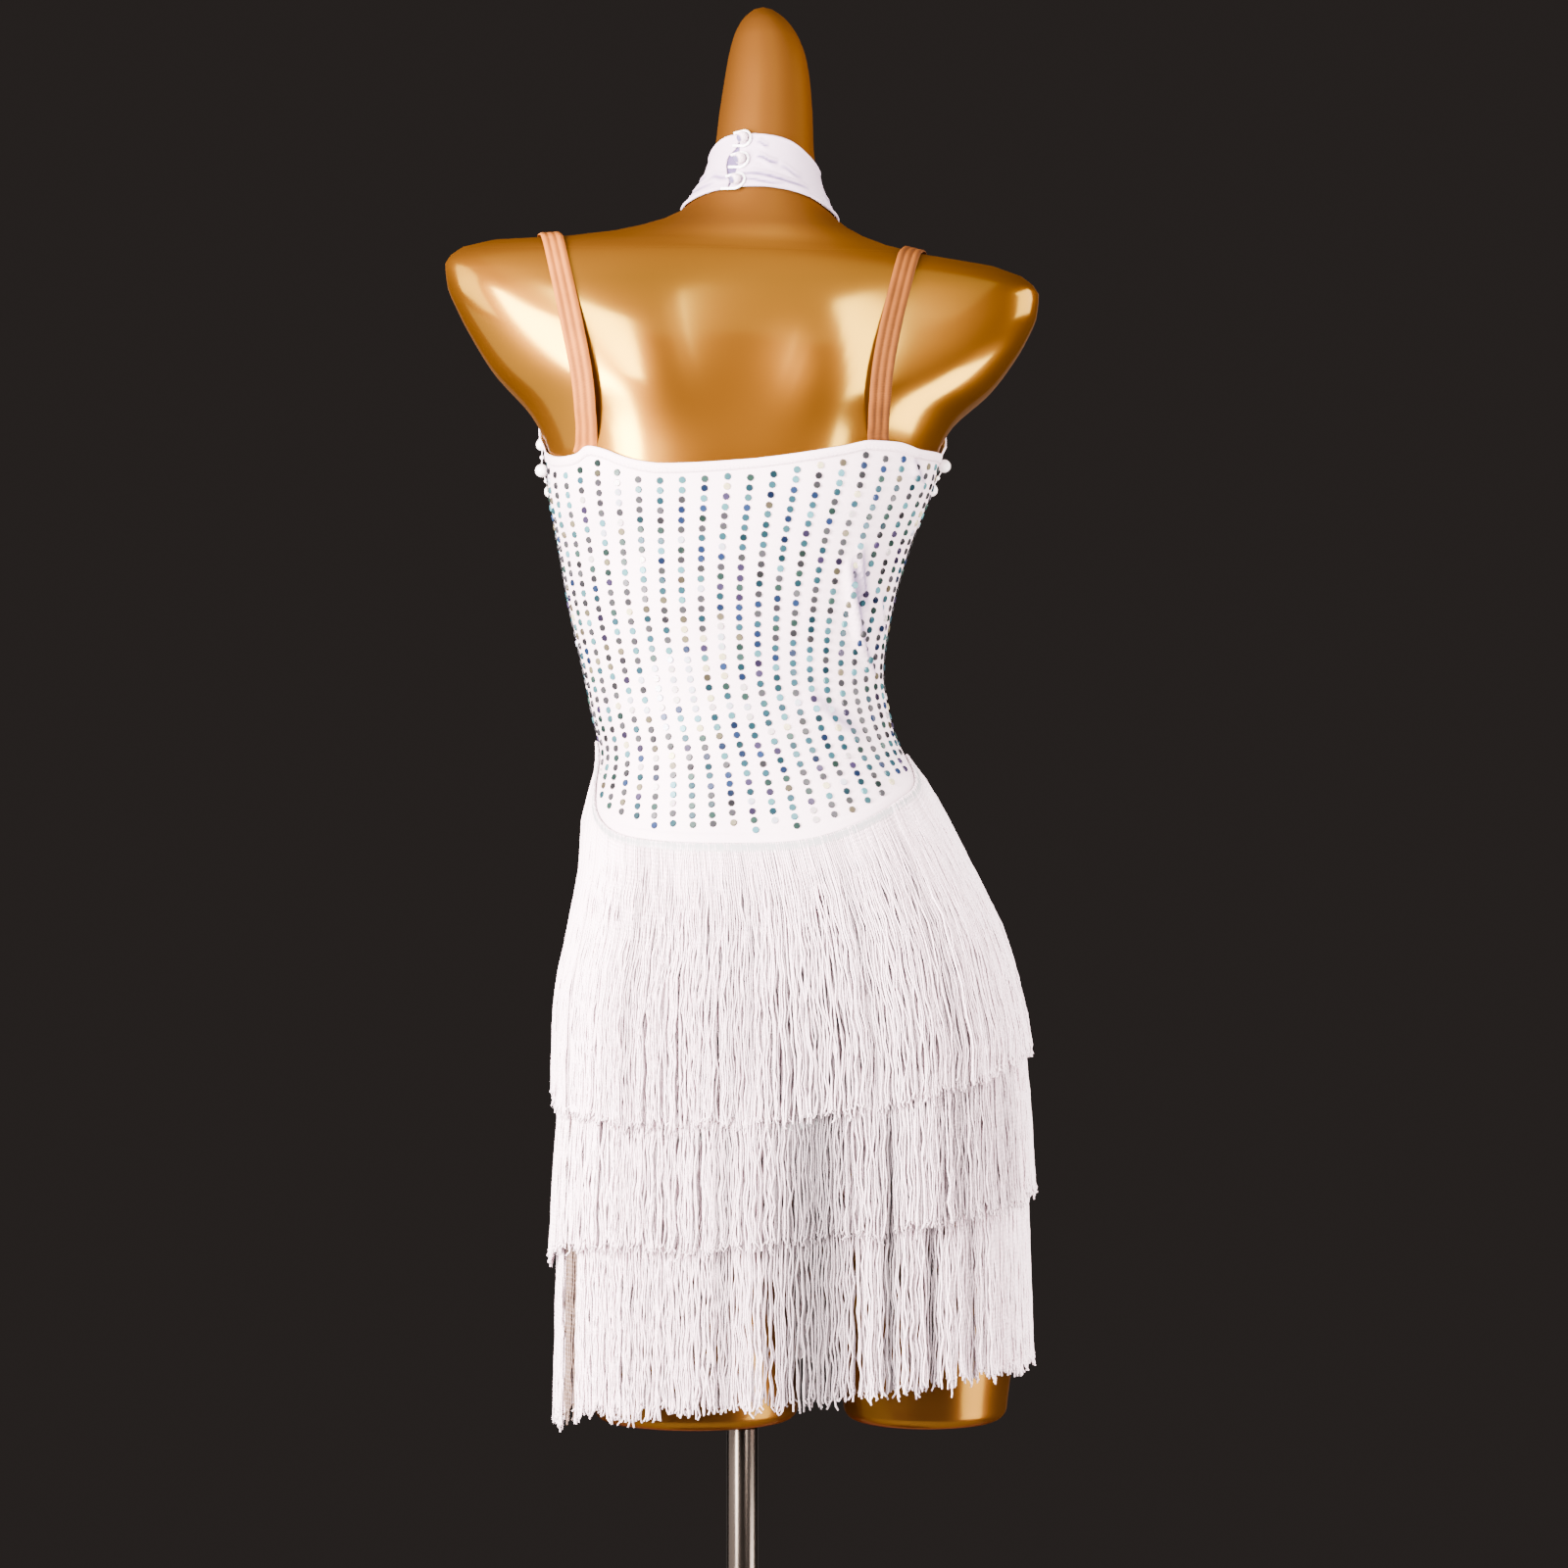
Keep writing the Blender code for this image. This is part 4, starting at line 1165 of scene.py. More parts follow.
SEAM_LINE: Table = (
    (0, 1.053), (20, 1.038), (45, 1.023), (90, 1.012), (135, 1.022), (160, 1.042), (180, 1.066),
    (189, 1.036), (197, 1.018), (205, 1.007), (214, 0.999), (228, 0.9935), (262, 0.990), (278, 0.992),
    (292, 0.9995), (305, 1.009), (320, 1.020), (337, 1.031), (347, 1.041), (360, 1.053),
)  # fmt: skip
BACK_TOP_LINE: Table = (
    (180, 1.276), (207, 1.269), (217, 1.2705), (223, 1.275), (229, 1.273), (239, 1.266), (251, 1.262),
    (266, 1.2635), (281, 1.269), (297, 1.2765), (306, 1.281), (316, 1.281), (332, 1.277), (360, 1.278),
)  # fmt: skip
COLLAR_LOW_LINE: Table = (
    (0, 1.450), (90, 1.444), (180, 1.453), (225, 1.462), (270, 1.466), (315, 1.462), (360, 1.450),
)  # fmt: skip
COLLAR_HIGH_LINE: Table = (
    (0, 1.483), (90, 1.484), (180, 1.493), (205, 1.501), (235, 1.5055), (270, 1.505), (300, 1.501),
    (330, 1.491), (360, 1.483),
)  # fmt: skip
FRONT_EDGE: Table = (
    (1.276, 0.144), (1.284, 0.146), (1.296, 0.148), (1.308, 0.144), (1.322, 0.133), (1.338, 0.120),
    (1.370, 0.100), (1.400, 0.084), (1.425, 0.070), (1.446, 0.058),
)  # fmt: skip


@dataclass
class Bodice:
    """The back panel with its bound top edge, and the front panel with its halter."""

    figure: Figure
    layers: Layers = Layers()
    waist: float = 1.077
    back_columns: int = 131
    front_columns: int = 161
    low_rows: int = 60
    high_rows: int = 44
    underarm: float = 1.276
    high_crowding: float = 1.6
    bridge_height: float = 1.372
    bridge_spread: float = 0.072
    bridge_depth: float = 0.0035
    hem: float = 0.007
    hem_rise: float = 0.0006
    hem_step: float = 0.0008
    edge_rows: tuple[float, ...] = (0.0, 0.0006, 0.0020, 0.0040, 0.0056, 0.0066, 0.0076, 0.0090)
    binding: float = 0.007
    binding_rise: float = 0.0009
    binding_least: float = 0.0001
    binding_rows: int = 9
    armhole_hem: float = 0.0045
    armhole_from: float = 0.006
    stitch_pitch: float = 0.0032
    stitch_size: Triple = (0.0011, 0.00035, 0.00030)
    stitch_lines: tuple[float, ...] = (0.0056, 0.0041)
    reach: float = 0.030
    crease_taper: float = 0.7
    crease_bow: float = 0.5
    trough: Pair = (0.45, 1.7)
    shade_place: Pair = (1.1, 0.9)
    full_rise: float = 0.005
    crease_shade: float = 0.90
    darkest: float = 0.75
    least_lift: float = -0.0008
    stitch_tone: float = 0.9
    creases: tuple[Crease, ...] = (
        Crease((309, 1.196), (327, 1.130), 0.0040, 0.0070),
        Crease((313, 1.206), (325, 1.158), 0.0032, 0.0055),
        Crease((326, 1.268), (340, 1.248), 0.0034, 0.0052),
        Crease((318, 1.150), (340, 1.108), 0.0034, 0.0046),
        Crease((333, 1.170), (346, 1.140), 0.0032, 0.0038),
        Crease((296, 1.096), (318, 1.062), 0.0062, 0.0026),
        Crease((214, 1.112), (200, 1.072), 0.0040, 0.0010),
        Crease((206, 1.240), (197, 1.205), 0.0040, 0.0009),
        Crease((150, 1.188), (172, 1.132), 0.0042, 0.0022),
        Crease((140, 1.160), (160, 1.112), 0.0036, 0.0014),
        Crease((36, 1.186), (14, 1.136), 0.0042, 0.0022),
        Crease((46, 1.150), (28, 1.104), 0.0036, 0.0012),
        Crease((90, 1.196), (90, 1.236), 0.0080, -0.0010),
        Crease((160, 1.262), (148, 1.238), 0.0040, 0.0014),
        Crease((20, 1.262), (33, 1.240), 0.0040, 0.0014),
    )

    def crease_lift(self, angle: Array, height: Array) -> Array:
        """How far the creases move the cloth outwards at the given places."""
        return self.creased(angle, height)[0]

    def creased(self, angle: Array, height: Array) -> tuple[Array, Array]:
        """How far the creases move the cloth outwards, and how much light is left beside them."""
        place = self.figure.point(angle, height)
        lift, dark = np.zeros(place.shape[:-1]), np.zeros(place.shape[:-1])
        for crease in self.creases:
            ends = [self.figure.point(*end) for end in (crease.start, crease.end)]
            along, length = unit(ends[1] - ends[0]), np.linalg.norm(ends[1] - ends[0])
            middle = (np.array(crease.start) + crease.end) / 2
            outward = self.figure.normal(*middle)
            across = np.cross(outward, along)
            offset = place - ends[0]
            run, side = offset @ along / length, offset @ across / crease.width
            taper, near = arched(run, self.crease_taper), bell(offset @ outward, 0, self.reach)
            side = side + self.crease_bow * np.sin(run * np.pi)
            lift += crease.rise * (bell(side) - self.trough[0] * bell(side, self.trough[1])) * taper * near
            shade = self.crease_shade * crease.rise / self.full_rise
            dark += shade * bell(side, *self.shade_place) * taper * near
        return lift, 1 - dark.clip(0, self.darkest)

    @staticmethod
    def shade_tone(light: Array) -> Array:
        """The lilac tone of white cloth with that much light left on it."""
        return light[..., None] ** np.array([1.25, 1.35, 0.9])

    def inset_angles(self, start: float, end: float, columns: int) -> Array:
        """Degrees of a panel's columns between its side seams."""
        return self.figure.between(start, end, columns, self.layers.seam_gap, self.waist)

    def hem_lift(self, distance: Array, width: float) -> Array:
        """The step of a folded hem, by the distance from the cloth's edge."""
        inside = 1 - eased(distance, width - self.hem_step, width + self.hem_step)
        return self.hem_rise * eased(distance, 0, self.hem_step) * inside

    def seam_height(self, angle: Array) -> Array:
        """The bodice's lower edge."""
        return round_line(SEAM_LINE, angle) + self.layers.seam_gap / 2

    def back_net(self) -> tuple[Array, Array]:
        """Angles and heights of the back panel, by rows from the skirt up."""
        angle = self.inset_angles(180, 360, self.back_columns)
        low, high = self.seam_height(angle), smooth_line(BACK_TOP_LINE, angle)
        edge = np.array(self.edge_rows)[:, None]
        share = np.linspace(0, 1, self.low_rows)[1:-1, None]
        heights = [low + edge, low + edge[-1] + (high - low - edge[-1] * 2) * share, high - edge[::-1]]
        return np.broadcast_to(angle, (len(np.concatenate(heights)), len(angle))), np.concatenate(heights)

    def off_form(self, height: Array) -> Array:
        """How much further the front panel stands off the form, drawn tight over the hollow chest."""
        return self.bridge_depth * bell(height, self.bridge_height, self.bridge_spread)

    def edge_angle(self, height: Reals, reach: Reals) -> Array:
        """Degrees from the side to the place on the front at the given reach from the centre line."""
        across = np.clip(reach / self.figure.value("half_width", height), 0, 1)
        return np.degrees(np.arccos(across ** (self.figure.value("fullness", height) / 2)))

    def front_row(self, share: Reals, angle: Reals, inset: float = 0.0) -> tuple[Array, Array]:
        """Angles and heights of the front panel at one share of the way from the underarm to the collar.

        Args:
            share: that share.
            angle: degrees over the whole front, from 0 to 180.
            inset: how far the row's ends are drawn in from the armhole edges.

        Returns:
            The angles and the heights.
        """
        level = self.underarm + (FRONT_EDGE[-1][0] - self.underarm) * share
        half = 90 - self.edge_angle(level, smooth_line(FRONT_EDGE, level) - inset)
        narrowed = 90 + (angle - 90) / 90 * half
        top = round_line(COLLAR_LOW_LINE, narrowed) - self.layers.seam_gap
        return narrowed, self.underarm + (top - self.underarm) * share

    def front_net(self) -> tuple[Array, Array]:
        """Angles and heights of the front panel, by rows from the skirt to the collar."""
        angle = self.inset_angles(0, 180, self.front_columns)
        low = self.seam_height(angle)
        edge = np.array(self.edge_rows)[:, None]
        share = np.linspace(0, 1, self.low_rows)[1:, None]
        heights = np.concatenate([low + edge, low + edge[-1] + (self.underarm - low - edge[-1]) * share])
        shares = np.linspace(0, 1, self.high_rows)[1:] ** self.high_crowding
        above = np.array([self.front_row(share, angle) for share in shares])
        angles = np.concatenate([np.broadcast_to(angle, heights.shape), above[:, 0]])
        return angles, np.concatenate([heights, above[:, 1]])

    def panel(self, angle: Array, height: Array, off: Reals = 0.0, armholes: float = 0.0) -> Piece:
        """A panel of the bodice: creased, shaded, and hemmed at its lower edge.

        Args:
            angle: degrees, by rows from the skirt up.
            height: heights of the same places.
            off: how much further it stands off the form.
            armholes: the width of the hems at its side edges above the underarm, if it has any.

        Returns:
            The panel's wall.
        """
        lift, light = self.creased(angle, height)
        lift = np.maximum(lift + off, self.least_lift)
        layers = (self.layers.skin_gap + lift, self.layers.wall_out + lift)
        inner, outer = self.figure.layered(angle, height, *layers)
        hem = self.hem_lift(height - self.seam_height(angle), self.hem)
        if armholes:
            along = distances(outer, 1)
            from_edge = np.minimum(along, along[:, -1:] - along)
            upper = eased(height, self.underarm, self.underarm + self.armhole_from)
            hem = hem + upper * self.hem_lift(from_edge, armholes)
        outer = outer + self.figure.normal(angle, height) * hem[..., None]
        piece = Piece()
        piece.add_wall(inner, outer, tone=self.shade_tone(light))
        return piece

    def back(self) -> Object:
        """The back panel."""
        piece = self.panel(*self.back_net())
        return piece.make("back_panel", StretchKnit(), Slot.STRETCH, ["bodice_back"])

    def front(self) -> Object:
        """The front panel, with its armhole hems and the halter that narrows to the collar."""
        angle, height = self.front_net()
        piece = self.panel(angle, height, self.off_form(height), self.armhole_hem)
        return piece.make("front_panel", StretchKnit(), Slot.STRETCH, ["bodice_front"])

    def back_binding(self) -> Object:
        """The binding over the back's top edge: a soft roll with two rows of stitches."""
        angle = self.inset_angles(180, 360, 2 * self.back_columns)
        high = smooth_line(BACK_TOP_LINE, angle)
        share = np.linspace(0, 1, self.binding_rows)[:, None]
        height = high - self.binding * (1 - share)
        roll = (1 - (2 * share - 1) ** 4) ** 0.5 * self.binding_rise + 0.0 * angle
        base = self.layers.trim_in + self.crease_lift(angle, height)
        inner, outer = self.figure.layered(angle, height, base, base + roll + self.binding_least)
        piece = Piece()
        piece.add_wall(inner, outer)
        for drop in self.stitch_lines:
            line = self.figure.lifted(angle, high - drop, self.layers.trim_in + self.binding_rise)
            frames = self.stitch_frames(line, self.figure.normal(angle, high - drop))
            piece.add_copies(self.stitch(), frames, self.stitch_tone)
        return piece.make("top_binding", StretchKnit(), Slot.STRETCH, ["back_binding"])

    def stitch(self) -> Shape:
        """One stitch: a small long lozenge of thread."""
        long, wide, tall = self.stitch_size
        half = long / 2
        right = [(long, 0, 0), (half, wide, 0), (-half, wide, 0)]
        left = [(-long, 0, 0), (-half, -wide, 0), (half, -wide, 0)]
        points = np.array([*right, *left, (half, 0, tall), (-half, 0, tall)])
        threes = np.array([(0, 1, 6), (5, 0, 6), (2, 3, 7), (3, 4, 7)])
        fours = np.array([(1, 2, 7, 6), (4, 5, 6, 7)])
        return Shape(points, [threes, fours, np.array([(5, 4, 3, 2, 1, 0)])])

    def stitch_frames(self, line: Array, outward: Array) -> Array:
        """Frames for stitches along a line on the cloth."""
        length = distances(line)
        where = np.arange(self.stitch_pitch / 2, length[-1], self.stitch_pitch)
        places, outward = (sampled(values, length, where) for values in (line, outward))
        return surface_frames(places, np.gradient(places, axis=0), outward)


# ---- Rhinestones ----


class Hue(NamedTuple):
    """A colour that the stones show, and how common it is in the bright middle and at the sides."""

    colour: Triple
    middle: float
    side: float


@dataclass
class Rhinestones:
    """Columns of small faceted stones on both panels of the bodice."""

    figure: Figure
    bodice: Bodice
    radius: float = 0.0028
    table_share: float = 0.80
    height: float = 0.0013
    sides: int = 8
    sunk: float = 0.0002
    pitch: float = 0.0072
    columns: int = 24
    from_top: float = 0.0105
    from_seam: float = 0.0095
    from_edge: float = 0.0120
    from_collar: float = 0.0220
    lowest: float = 0.98
    levels: int = 48
    step: float = 0.001
    stagger: float = 0.4
    shake: float = 0.00022
    unevenness: float = 0.06
    middle_place: Pair = (0.02, 0.075)
    pale_chance: float = 0.85
    stray_chance: float = 0.07
    pale_place: Pair = (-0.044, 1.106)
    pale_spread: Pair = (0.032, 0.030)
    hues: tuple[Hue, ...] = (
        Hue((0.010, 0.034, 0.042), 0.36, 0.08),
        Hue((0.008, 0.016, 0.040), 0.16, 0.06),
        Hue((0.014, 0.030, 0.024), 0.10, 0.14),
        Hue((0.020, 0.014, 0.032), 0.08, 0.06),
        Hue((0.024, 0.023, 0.024), 0.14, 0.46),
        Hue((0.075, 0.062, 0.036), 0.04, 0.08),
        Hue((0.040, 0.120, 0.130), 0.12, 0.12),
    )
    brightness: Pair = (0.45, 1.8)
    pale: tuple[Triple, ...] = (
        (0.50, 0.42, 0.40),
        (0.50, 0.43, 0.24),
        (0.42, 0.42, 0.46),
    )

    def stone(self) -> Shape:
        """One cut stone: a girdle, a crown of facets and a flat table."""
        turns = np.arange(self.sides) * TURN / self.sides
        girdle = np.stack([np.cos(turns), np.sin(turns), 0 * turns], -1) * self.radius
        turns = turns + TURN / self.sides / 2
        table = np.stack([np.cos(turns), np.sin(turns), 0 * turns], -1) * self.radius * self.table_share
        table[:, 2] = self.height
        low = np.arange(self.sides)
        beside = (low + 1) % self.sides
        high = low + self.sides
        before = np.roll(high, 1)
        facets = [np.stack([low, beside, high], -1), np.stack([low, high, before], -1)]
        return Shape(np.concatenate([girdle, table]), [*facets, high[None], low[None, ::-1]])

    def column_lines(
        self, start: float, end: float, covered: Callable[[Array, Array], Array]
    ) -> list[tuple[Array, Array]]:
        """Angles and heights along each column between two seams.

        Args:
            start: degrees of the first seam.
            end: degrees of the second.
            covered: whether the panel reaches the given angles and heights.

        Returns:
            For each column, its angles and heights from the top down.
        """
        levels = np.linspace(FRONT_EDGE[-1][0], self.lowest, self.levels)
        angle = np.linspace(start, end, 181)
        share = (np.arange(self.columns) + 0.5) / self.columns - 0.5
        underarm, out = self.bodice.underarm, self.bodice.layers.wall_out
        widest = distances(self.figure.lifted(angle, underarm, out))[-1]
        found = []
        for level in levels:
            length = distances(self.figure.lifted(angle, level, out))
            full = widest if level > underarm else length[-1]
            where = length[-1] / 2 + share * full
            found.append(np.interp(where, length, angle, left=np.nan, right=np.nan))
        found = np.array(found)[::-1]
        height = np.arange(levels[0], levels[-1], -self.step)
        lines = []
        for column in found.T:
            around = np.interp(height, levels[::-1], column)
            fits = ~np.isnan(around)
            fits[fits] &= covered(around[fits], height[fits])
            fits[fits] &= height[fits] > self.bodice.seam_height(around[fits]) + self.from_seam
            lines.append((around[fits], height[fits]))
        return lines

    def on_back(self, angle: Array, height: Array) -> Array:
        """Whether places lie below the back's top edge."""
        return height < smooth_line(BACK_TOP_LINE, angle) - self.from_top

    def on_front(self, angle: Array, height: Array) -> Array:
        """Whether places lie within the front's armhole edges and below its collar."""
        top = round_line(COLLAR_LOW_LINE, angle) - self.bodice.layers.seam_gap
        share = (height - self.bodice.underarm) / (top - self.bodice.underarm)
        level = self.bodice.underarm + (FRONT_EDGE[-1][0] - self.bodice.underarm) * share.clip(0, 1)
        half = 90 - self.bodice.edge_angle(level, smooth_line(FRONT_EDGE, level) - self.from_edge)
        return (share < 0) | ((np.abs(angle - 90) < half) & (height < top - self.from_collar))

    def tones(self, places: Array, random: np.random.Generator) -> Array:
        """A colour for each stone: deep hues down the back's middle, greyer sides and a pale patch."""
        middle = bell(places[:, 0], *self.middle_place)
        weights = np.array([[hue.middle, hue.side] for hue in self.hues])
        weight = weights[:, 0] * middle[:, None] + weights[:, 1] * (1 - middle[:, None])
        weight = np.cumsum(weight / weight.sum(1, keepdims=True), 1)
        pick = (random.random(len(places))[:, None] > weight).sum(1).clip(0, len(self.hues) - 1)
        colour = np.array([hue.colour for hue in self.hues])[pick]
        colour = colour * random.uniform(*self.brightness, (len(places), 1))
        away = (places[:, [0, 2]] - self.pale_place) / self.pale_spread
        chance = self.pale_chance * np.exp(-(away**2).sum(1)) * (places[:, 1] < 0) + self.stray_chance
        pale = np.array(self.pale)[random.integers(0, len(self.pale), len(places))]
        return np.where((random.random(len(places)) < chance)[:, None], pale, colour)

    def build(self) -> list[Object]:
        """Both panels' stones."""
        random = np.random.default_rng(SEED)
        panels = (("stones_back", 180, 360, self.on_back), ("stones_front", 0, 180, self.on_front))
        made = []
        for name, start, end, covered in panels:
            angles, heights = [], []
            for around, height in self.column_lines(start, end, covered):
                if len(height) < 2:
                    continue
                length = distances(self.figure.lifted(around, height, self.bodice.layers.wall_out))
                first = random.uniform(0, self.stagger) * self.pitch
                where = np.arange(first, length[-1], self.pitch)
                where = where + random.normal(0, self.shake, len(where))
                angles.append(np.interp(where, length, around))
                heights.append(np.interp(where, length, height))
            angle, height = np.concatenate(angles), np.concatenate(heights)
            lift = self.bodice.layers.wall_out - self.sunk + self.bodice.crease_lift(angle, height)
            if covered == self.on_front:
                lift = lift + self.bodice.off_form(height)
            places = self.figure.lifted(angle, height, lift)
            outward = self.figure.normal(angle, height) + random.normal(0, self.unevenness, places.shape)
            frames = surface_frames(places, random.normal(0, 1, places.shape), outward)
            piece = Piece()
            piece.add_copies(self.stone(), frames, self.tones(places, random))
            stones = piece.make(name, Crystal(), Slot.STONE)
            stones.data.shade_flat()
            made.append(stones)
        return made


# ---- The collar ----


@dataclass
class Collar:
    """The neck band, open at the back, with its ball buttons, cord loops and underlap."""

    figure: Figure
    opening: float = 243.0
    gap: float = 0.0012
    cloth: float = 0.0012
    neck_radius: float = 0.045
    width: float = 0.040
    columns: int = 241
    rows: int = 33
    least_opening: float = 0.0008
    slack: Table = (
        (0.0, 0.0003), (0.12, 0.0006), (0.20, 0.0020), (0.34, 0.0046), (0.50, 0.0066), (0.62, 0.0060),
        (0.76, 0.0012), (0.86, 0.0003), (1.0, 0.0003),
    )  # fmt: skip
    slack_right: float = 0.25
    slack_left: float = 1.35
    hem: float = 0.0022
    hem_rise: float = 0.0008
    underlap: float = 0.016
    underlap_gap: float = 0.0003
    underlap_thick: float = 0.0006
    underlap_columns: int = 21
    underlap_reach: Pair = (-0.8, 0.5)
    underlap_span: Pair = (0.02, 0.96)
    # Painted shade: the underlap is coloured dark lilac because it lies in shadow behind the parted ends.
    underlap_shade: Triple = (0.10, 0.08, 0.20)
    fold_taper: float = 0.6
    ridge_place: float = 1.25
    second_ridge: float = 0.8
    fold_trough: float = 0.35
    fold_wander: Pair = (0.02, 7)
    full_rise: float = 0.0015
    fold_shade: float = 0.95
    shade_spread: float = 0.75
    darkest: float = 0.75
    least_lift: float = -0.0006
    own_light: float = 0.72
    button_radius: float = 0.0042
    button_shares: tuple[float, ...] = (0.1, 0.5, 0.9)
    button_lift: float = 0.0004
    gathered: float = 0.82
    gather_size: float = 0.8
    pressed: float = 0.93
    press_size: Pair = (0.04, 0.03)
    # Painted shade on each ball button's lower left: its direction, colour and size.
    button_shade_way: Triple = (-0.75, -0.55, -0.35)
    button_shade: Triple = (0.12, 0.12, 0.26)
    button_shade_size: float = 0.40
    cord_radius: float = 0.0010
    loop_tail: float = 1.7
    loop_spread: float = 0.8
    loop_points: int = 33
    folds: tuple[Crease, ...] = (
        Crease((262, 0.83), (276, 0.79), 0.0013, 0.0013),
        Crease((263, 0.56), (286, 0.47), 0.0014, 0.0020),
        Crease((249, 0.24), (318, 0.14), 0.0014, 0.0019),
        Crease((247, 0.13), (292, 0.08), 0.0011, 0.0014),
        Crease((287, 0.42), (312, 0.32), 0.0018, 0.0009),
        Crease((212, 0.30), (242, 0.20), 0.0018, 0.0010),
        Crease((150, 0.55), (205, 0.40), 0.0022, 0.0012),
        Crease((160, 0.25), (225, 0.14), 0.0018, 0.0010),
        Crease((20, 0.62), (80, 0.70), 0.0020, 0.0012),
        Crease((70, 0.30), (140, 0.36), 0.0020, 0.0012),
        Crease((340, 0.30), (400, 0.22), 0.0020, 0.0012),
    )

    def place(self, angle: Array, share: Array, clearance: Reals) -> Array:
        """A place on the collar, close to the neck from its lower edge to its upper one."""
        angle, share, clearance = np.broadcast_arrays(angle, share, clearance)
        low, high = round_line(COLLAR_LOW_LINE, angle), round_line(COLLAR_HIGH_LINE, angle)
        return self.figure.lifted(angle, low + (high - low) * share, clearance)

    def outward(self, angle: Array, share: Array) -> Array:
        """The collar's outward directions."""
        along = self.place(angle + 1, share, self.gap) - self.place(angle - 1, share, self.gap)
        up = self.place(angle, share + 0.02, self.gap) - self.place(angle, share - 0.02, self.gap)
        return unit(np.cross(along, up))

    def folded(self, angle: Array, share: Array) -> tuple[Array, Array]:
        """How far the soft folds move the collar outwards, and how much light is left between them."""
        lift, dark = np.zeros(angle.shape), np.zeros(angle.shape)
        wander, turns = self.fold_wander
        for fold in self.folds:
            run = (angle - fold.start[0]) / (fold.end[0] - fold.start[0])
            shifted = (angle + 360 - fold.start[0]) / (fold.end[0] - fold.start[0])
            run = np.where((run < 0) | (run > 1), shifted, run)
            line = fold.start[1] + (fold.end[1] - fold.start[1]) * run + wander * np.sin(run * turns)
            side = (share - line) * self.width / fold.width
            taper = arched(run, self.fold_taper)
            ridges = bell(side, self.ridge_place) + self.second_ridge * bell(side, -self.ridge_place)
            lift += fold.rise * taper * (ridges - self.fold_trough * bell(side))
            dark += self.fold_shade * fold.rise / self.full_rise * taper * bell(side, 0, self.shade_spread)
        return lift, 1 - dark.clip(0, self.darkest)

    def band(self) -> Object:
        """The band, whose ends part between the buttons, with rolled hems, painted fold shade, and the
        underlap behind them, painted dark as shade.
        """
        share = np.linspace(0, 1, self.rows)[:, None]
        slack = np.degrees((self.least_opening + smooth_line(self.slack, share)) / self.neck_radius)
        start = self.opening + slack * self.slack_right
        end = self.opening + 360 - slack * self.slack_left
        angle = start + (end - start) * np.linspace(0, 1, self.columns)
        share = share + 0 * angle
        edge = np.minimum(share, 1 - share) * self.width
        hem = self.hem_rise * np.exp(-(((edge - self.hem / 2) / (self.hem / 2)) ** 2) * 2)
        lift, light = self.folded(angle % 360, share)
        lift = self.gap + np.maximum(lift, self.least_lift)
        inner, outer = self.place(angle, share, lift), self.place(angle, share, lift + self.cloth + hem)
        piece = Piece()
        piece.add_wall(inner, outer, tone=Bodice.shade_tone(light * self.own_light))
        lap = np.degrees(self.underlap / self.neck_radius)
        before, after = (self.opening + reach * lap for reach in self.underlap_reach)
        angle = np.linspace(before, after, self.underlap_columns) + 0 * share[:, :1]
        low, width = self.underlap_span
        share = share[:, : self.underlap_columns] * width + low
        low = self.underlap_gap
        inner, outer = (self.place(angle, share, lift) for lift in (low, low + self.underlap_thick))
        piece.add_wall(inner, outer, tone=np.array(self.underlap_shade))
        return piece.make("collar_band", StretchKnit(), Slot.STRETCH, ["collar"])

    def button_angle(self) -> float:
        """The buttons' place round the neck."""
        return self.opening + math.degrees(self.button_radius / self.neck_radius)

    def buttons(self) -> Object:
        """The covered ball buttons, each gathered at its back."""
        lift = self.gap + self.cloth + self.button_lift
        made = []
        for number, share in enumerate(self.button_shares, 1):
            centre = self.place(self.button_angle(), share, lift + self.button_radius)
            ball = Bench.ball(f"ball_button_{number}", 32, 20, self.button_radius, centre)
            behind = -Vector(self.outward(np.array(self.button_angle()), np.array(share)))
            Bench.pick(ball, lambda face: face.normal.dot(behind) > self.gathered)
            bpy.ops.transform.resize(value=[self.gather_size] * 3)
            Bench.pick(ball, lambda face: face.normal.dot(-behind) > self.pressed)
            seam, depth = (self.button_radius * part for part in self.press_size)
            bpy.ops.mesh.inset(thickness=seam, depth=-depth)
            Bench.finish(ball, 60.0)
            self.tint(ball, centre)
            made.append(ball)
        for ball in made:
            ball.select_set(True)
        bpy.context.view_layer.objects.active = made[0]
        bpy.ops.object.join()
        made[0].name = made[0].data.name = "ball_buttons"
        Bench.clear()
        return dressed(made[0], StretchKnit(), self.nodes("collar_button"))

    def nodes(self, kind: str) -> list[str]:
        """The CAD nodes of that kind, one for each button."""
        return [f"{kind}_{number}" for number in range(1, len(self.button_shares) + 1)]

    def tint(self, ball: Object, centre: Array) -> None:
        """Paint shade on a ball button's lower left."""
        facing = unit(mesh_points(ball.data) - centre) @ unit(np.array(self.button_shade_way))
        share = eased(facing, 1 - self.button_shade_size, 1 - self.button_shade_size / 3)[:, None]
        set_tones(ball.data, 1 + share * (np.array(self.button_shade) - 1))

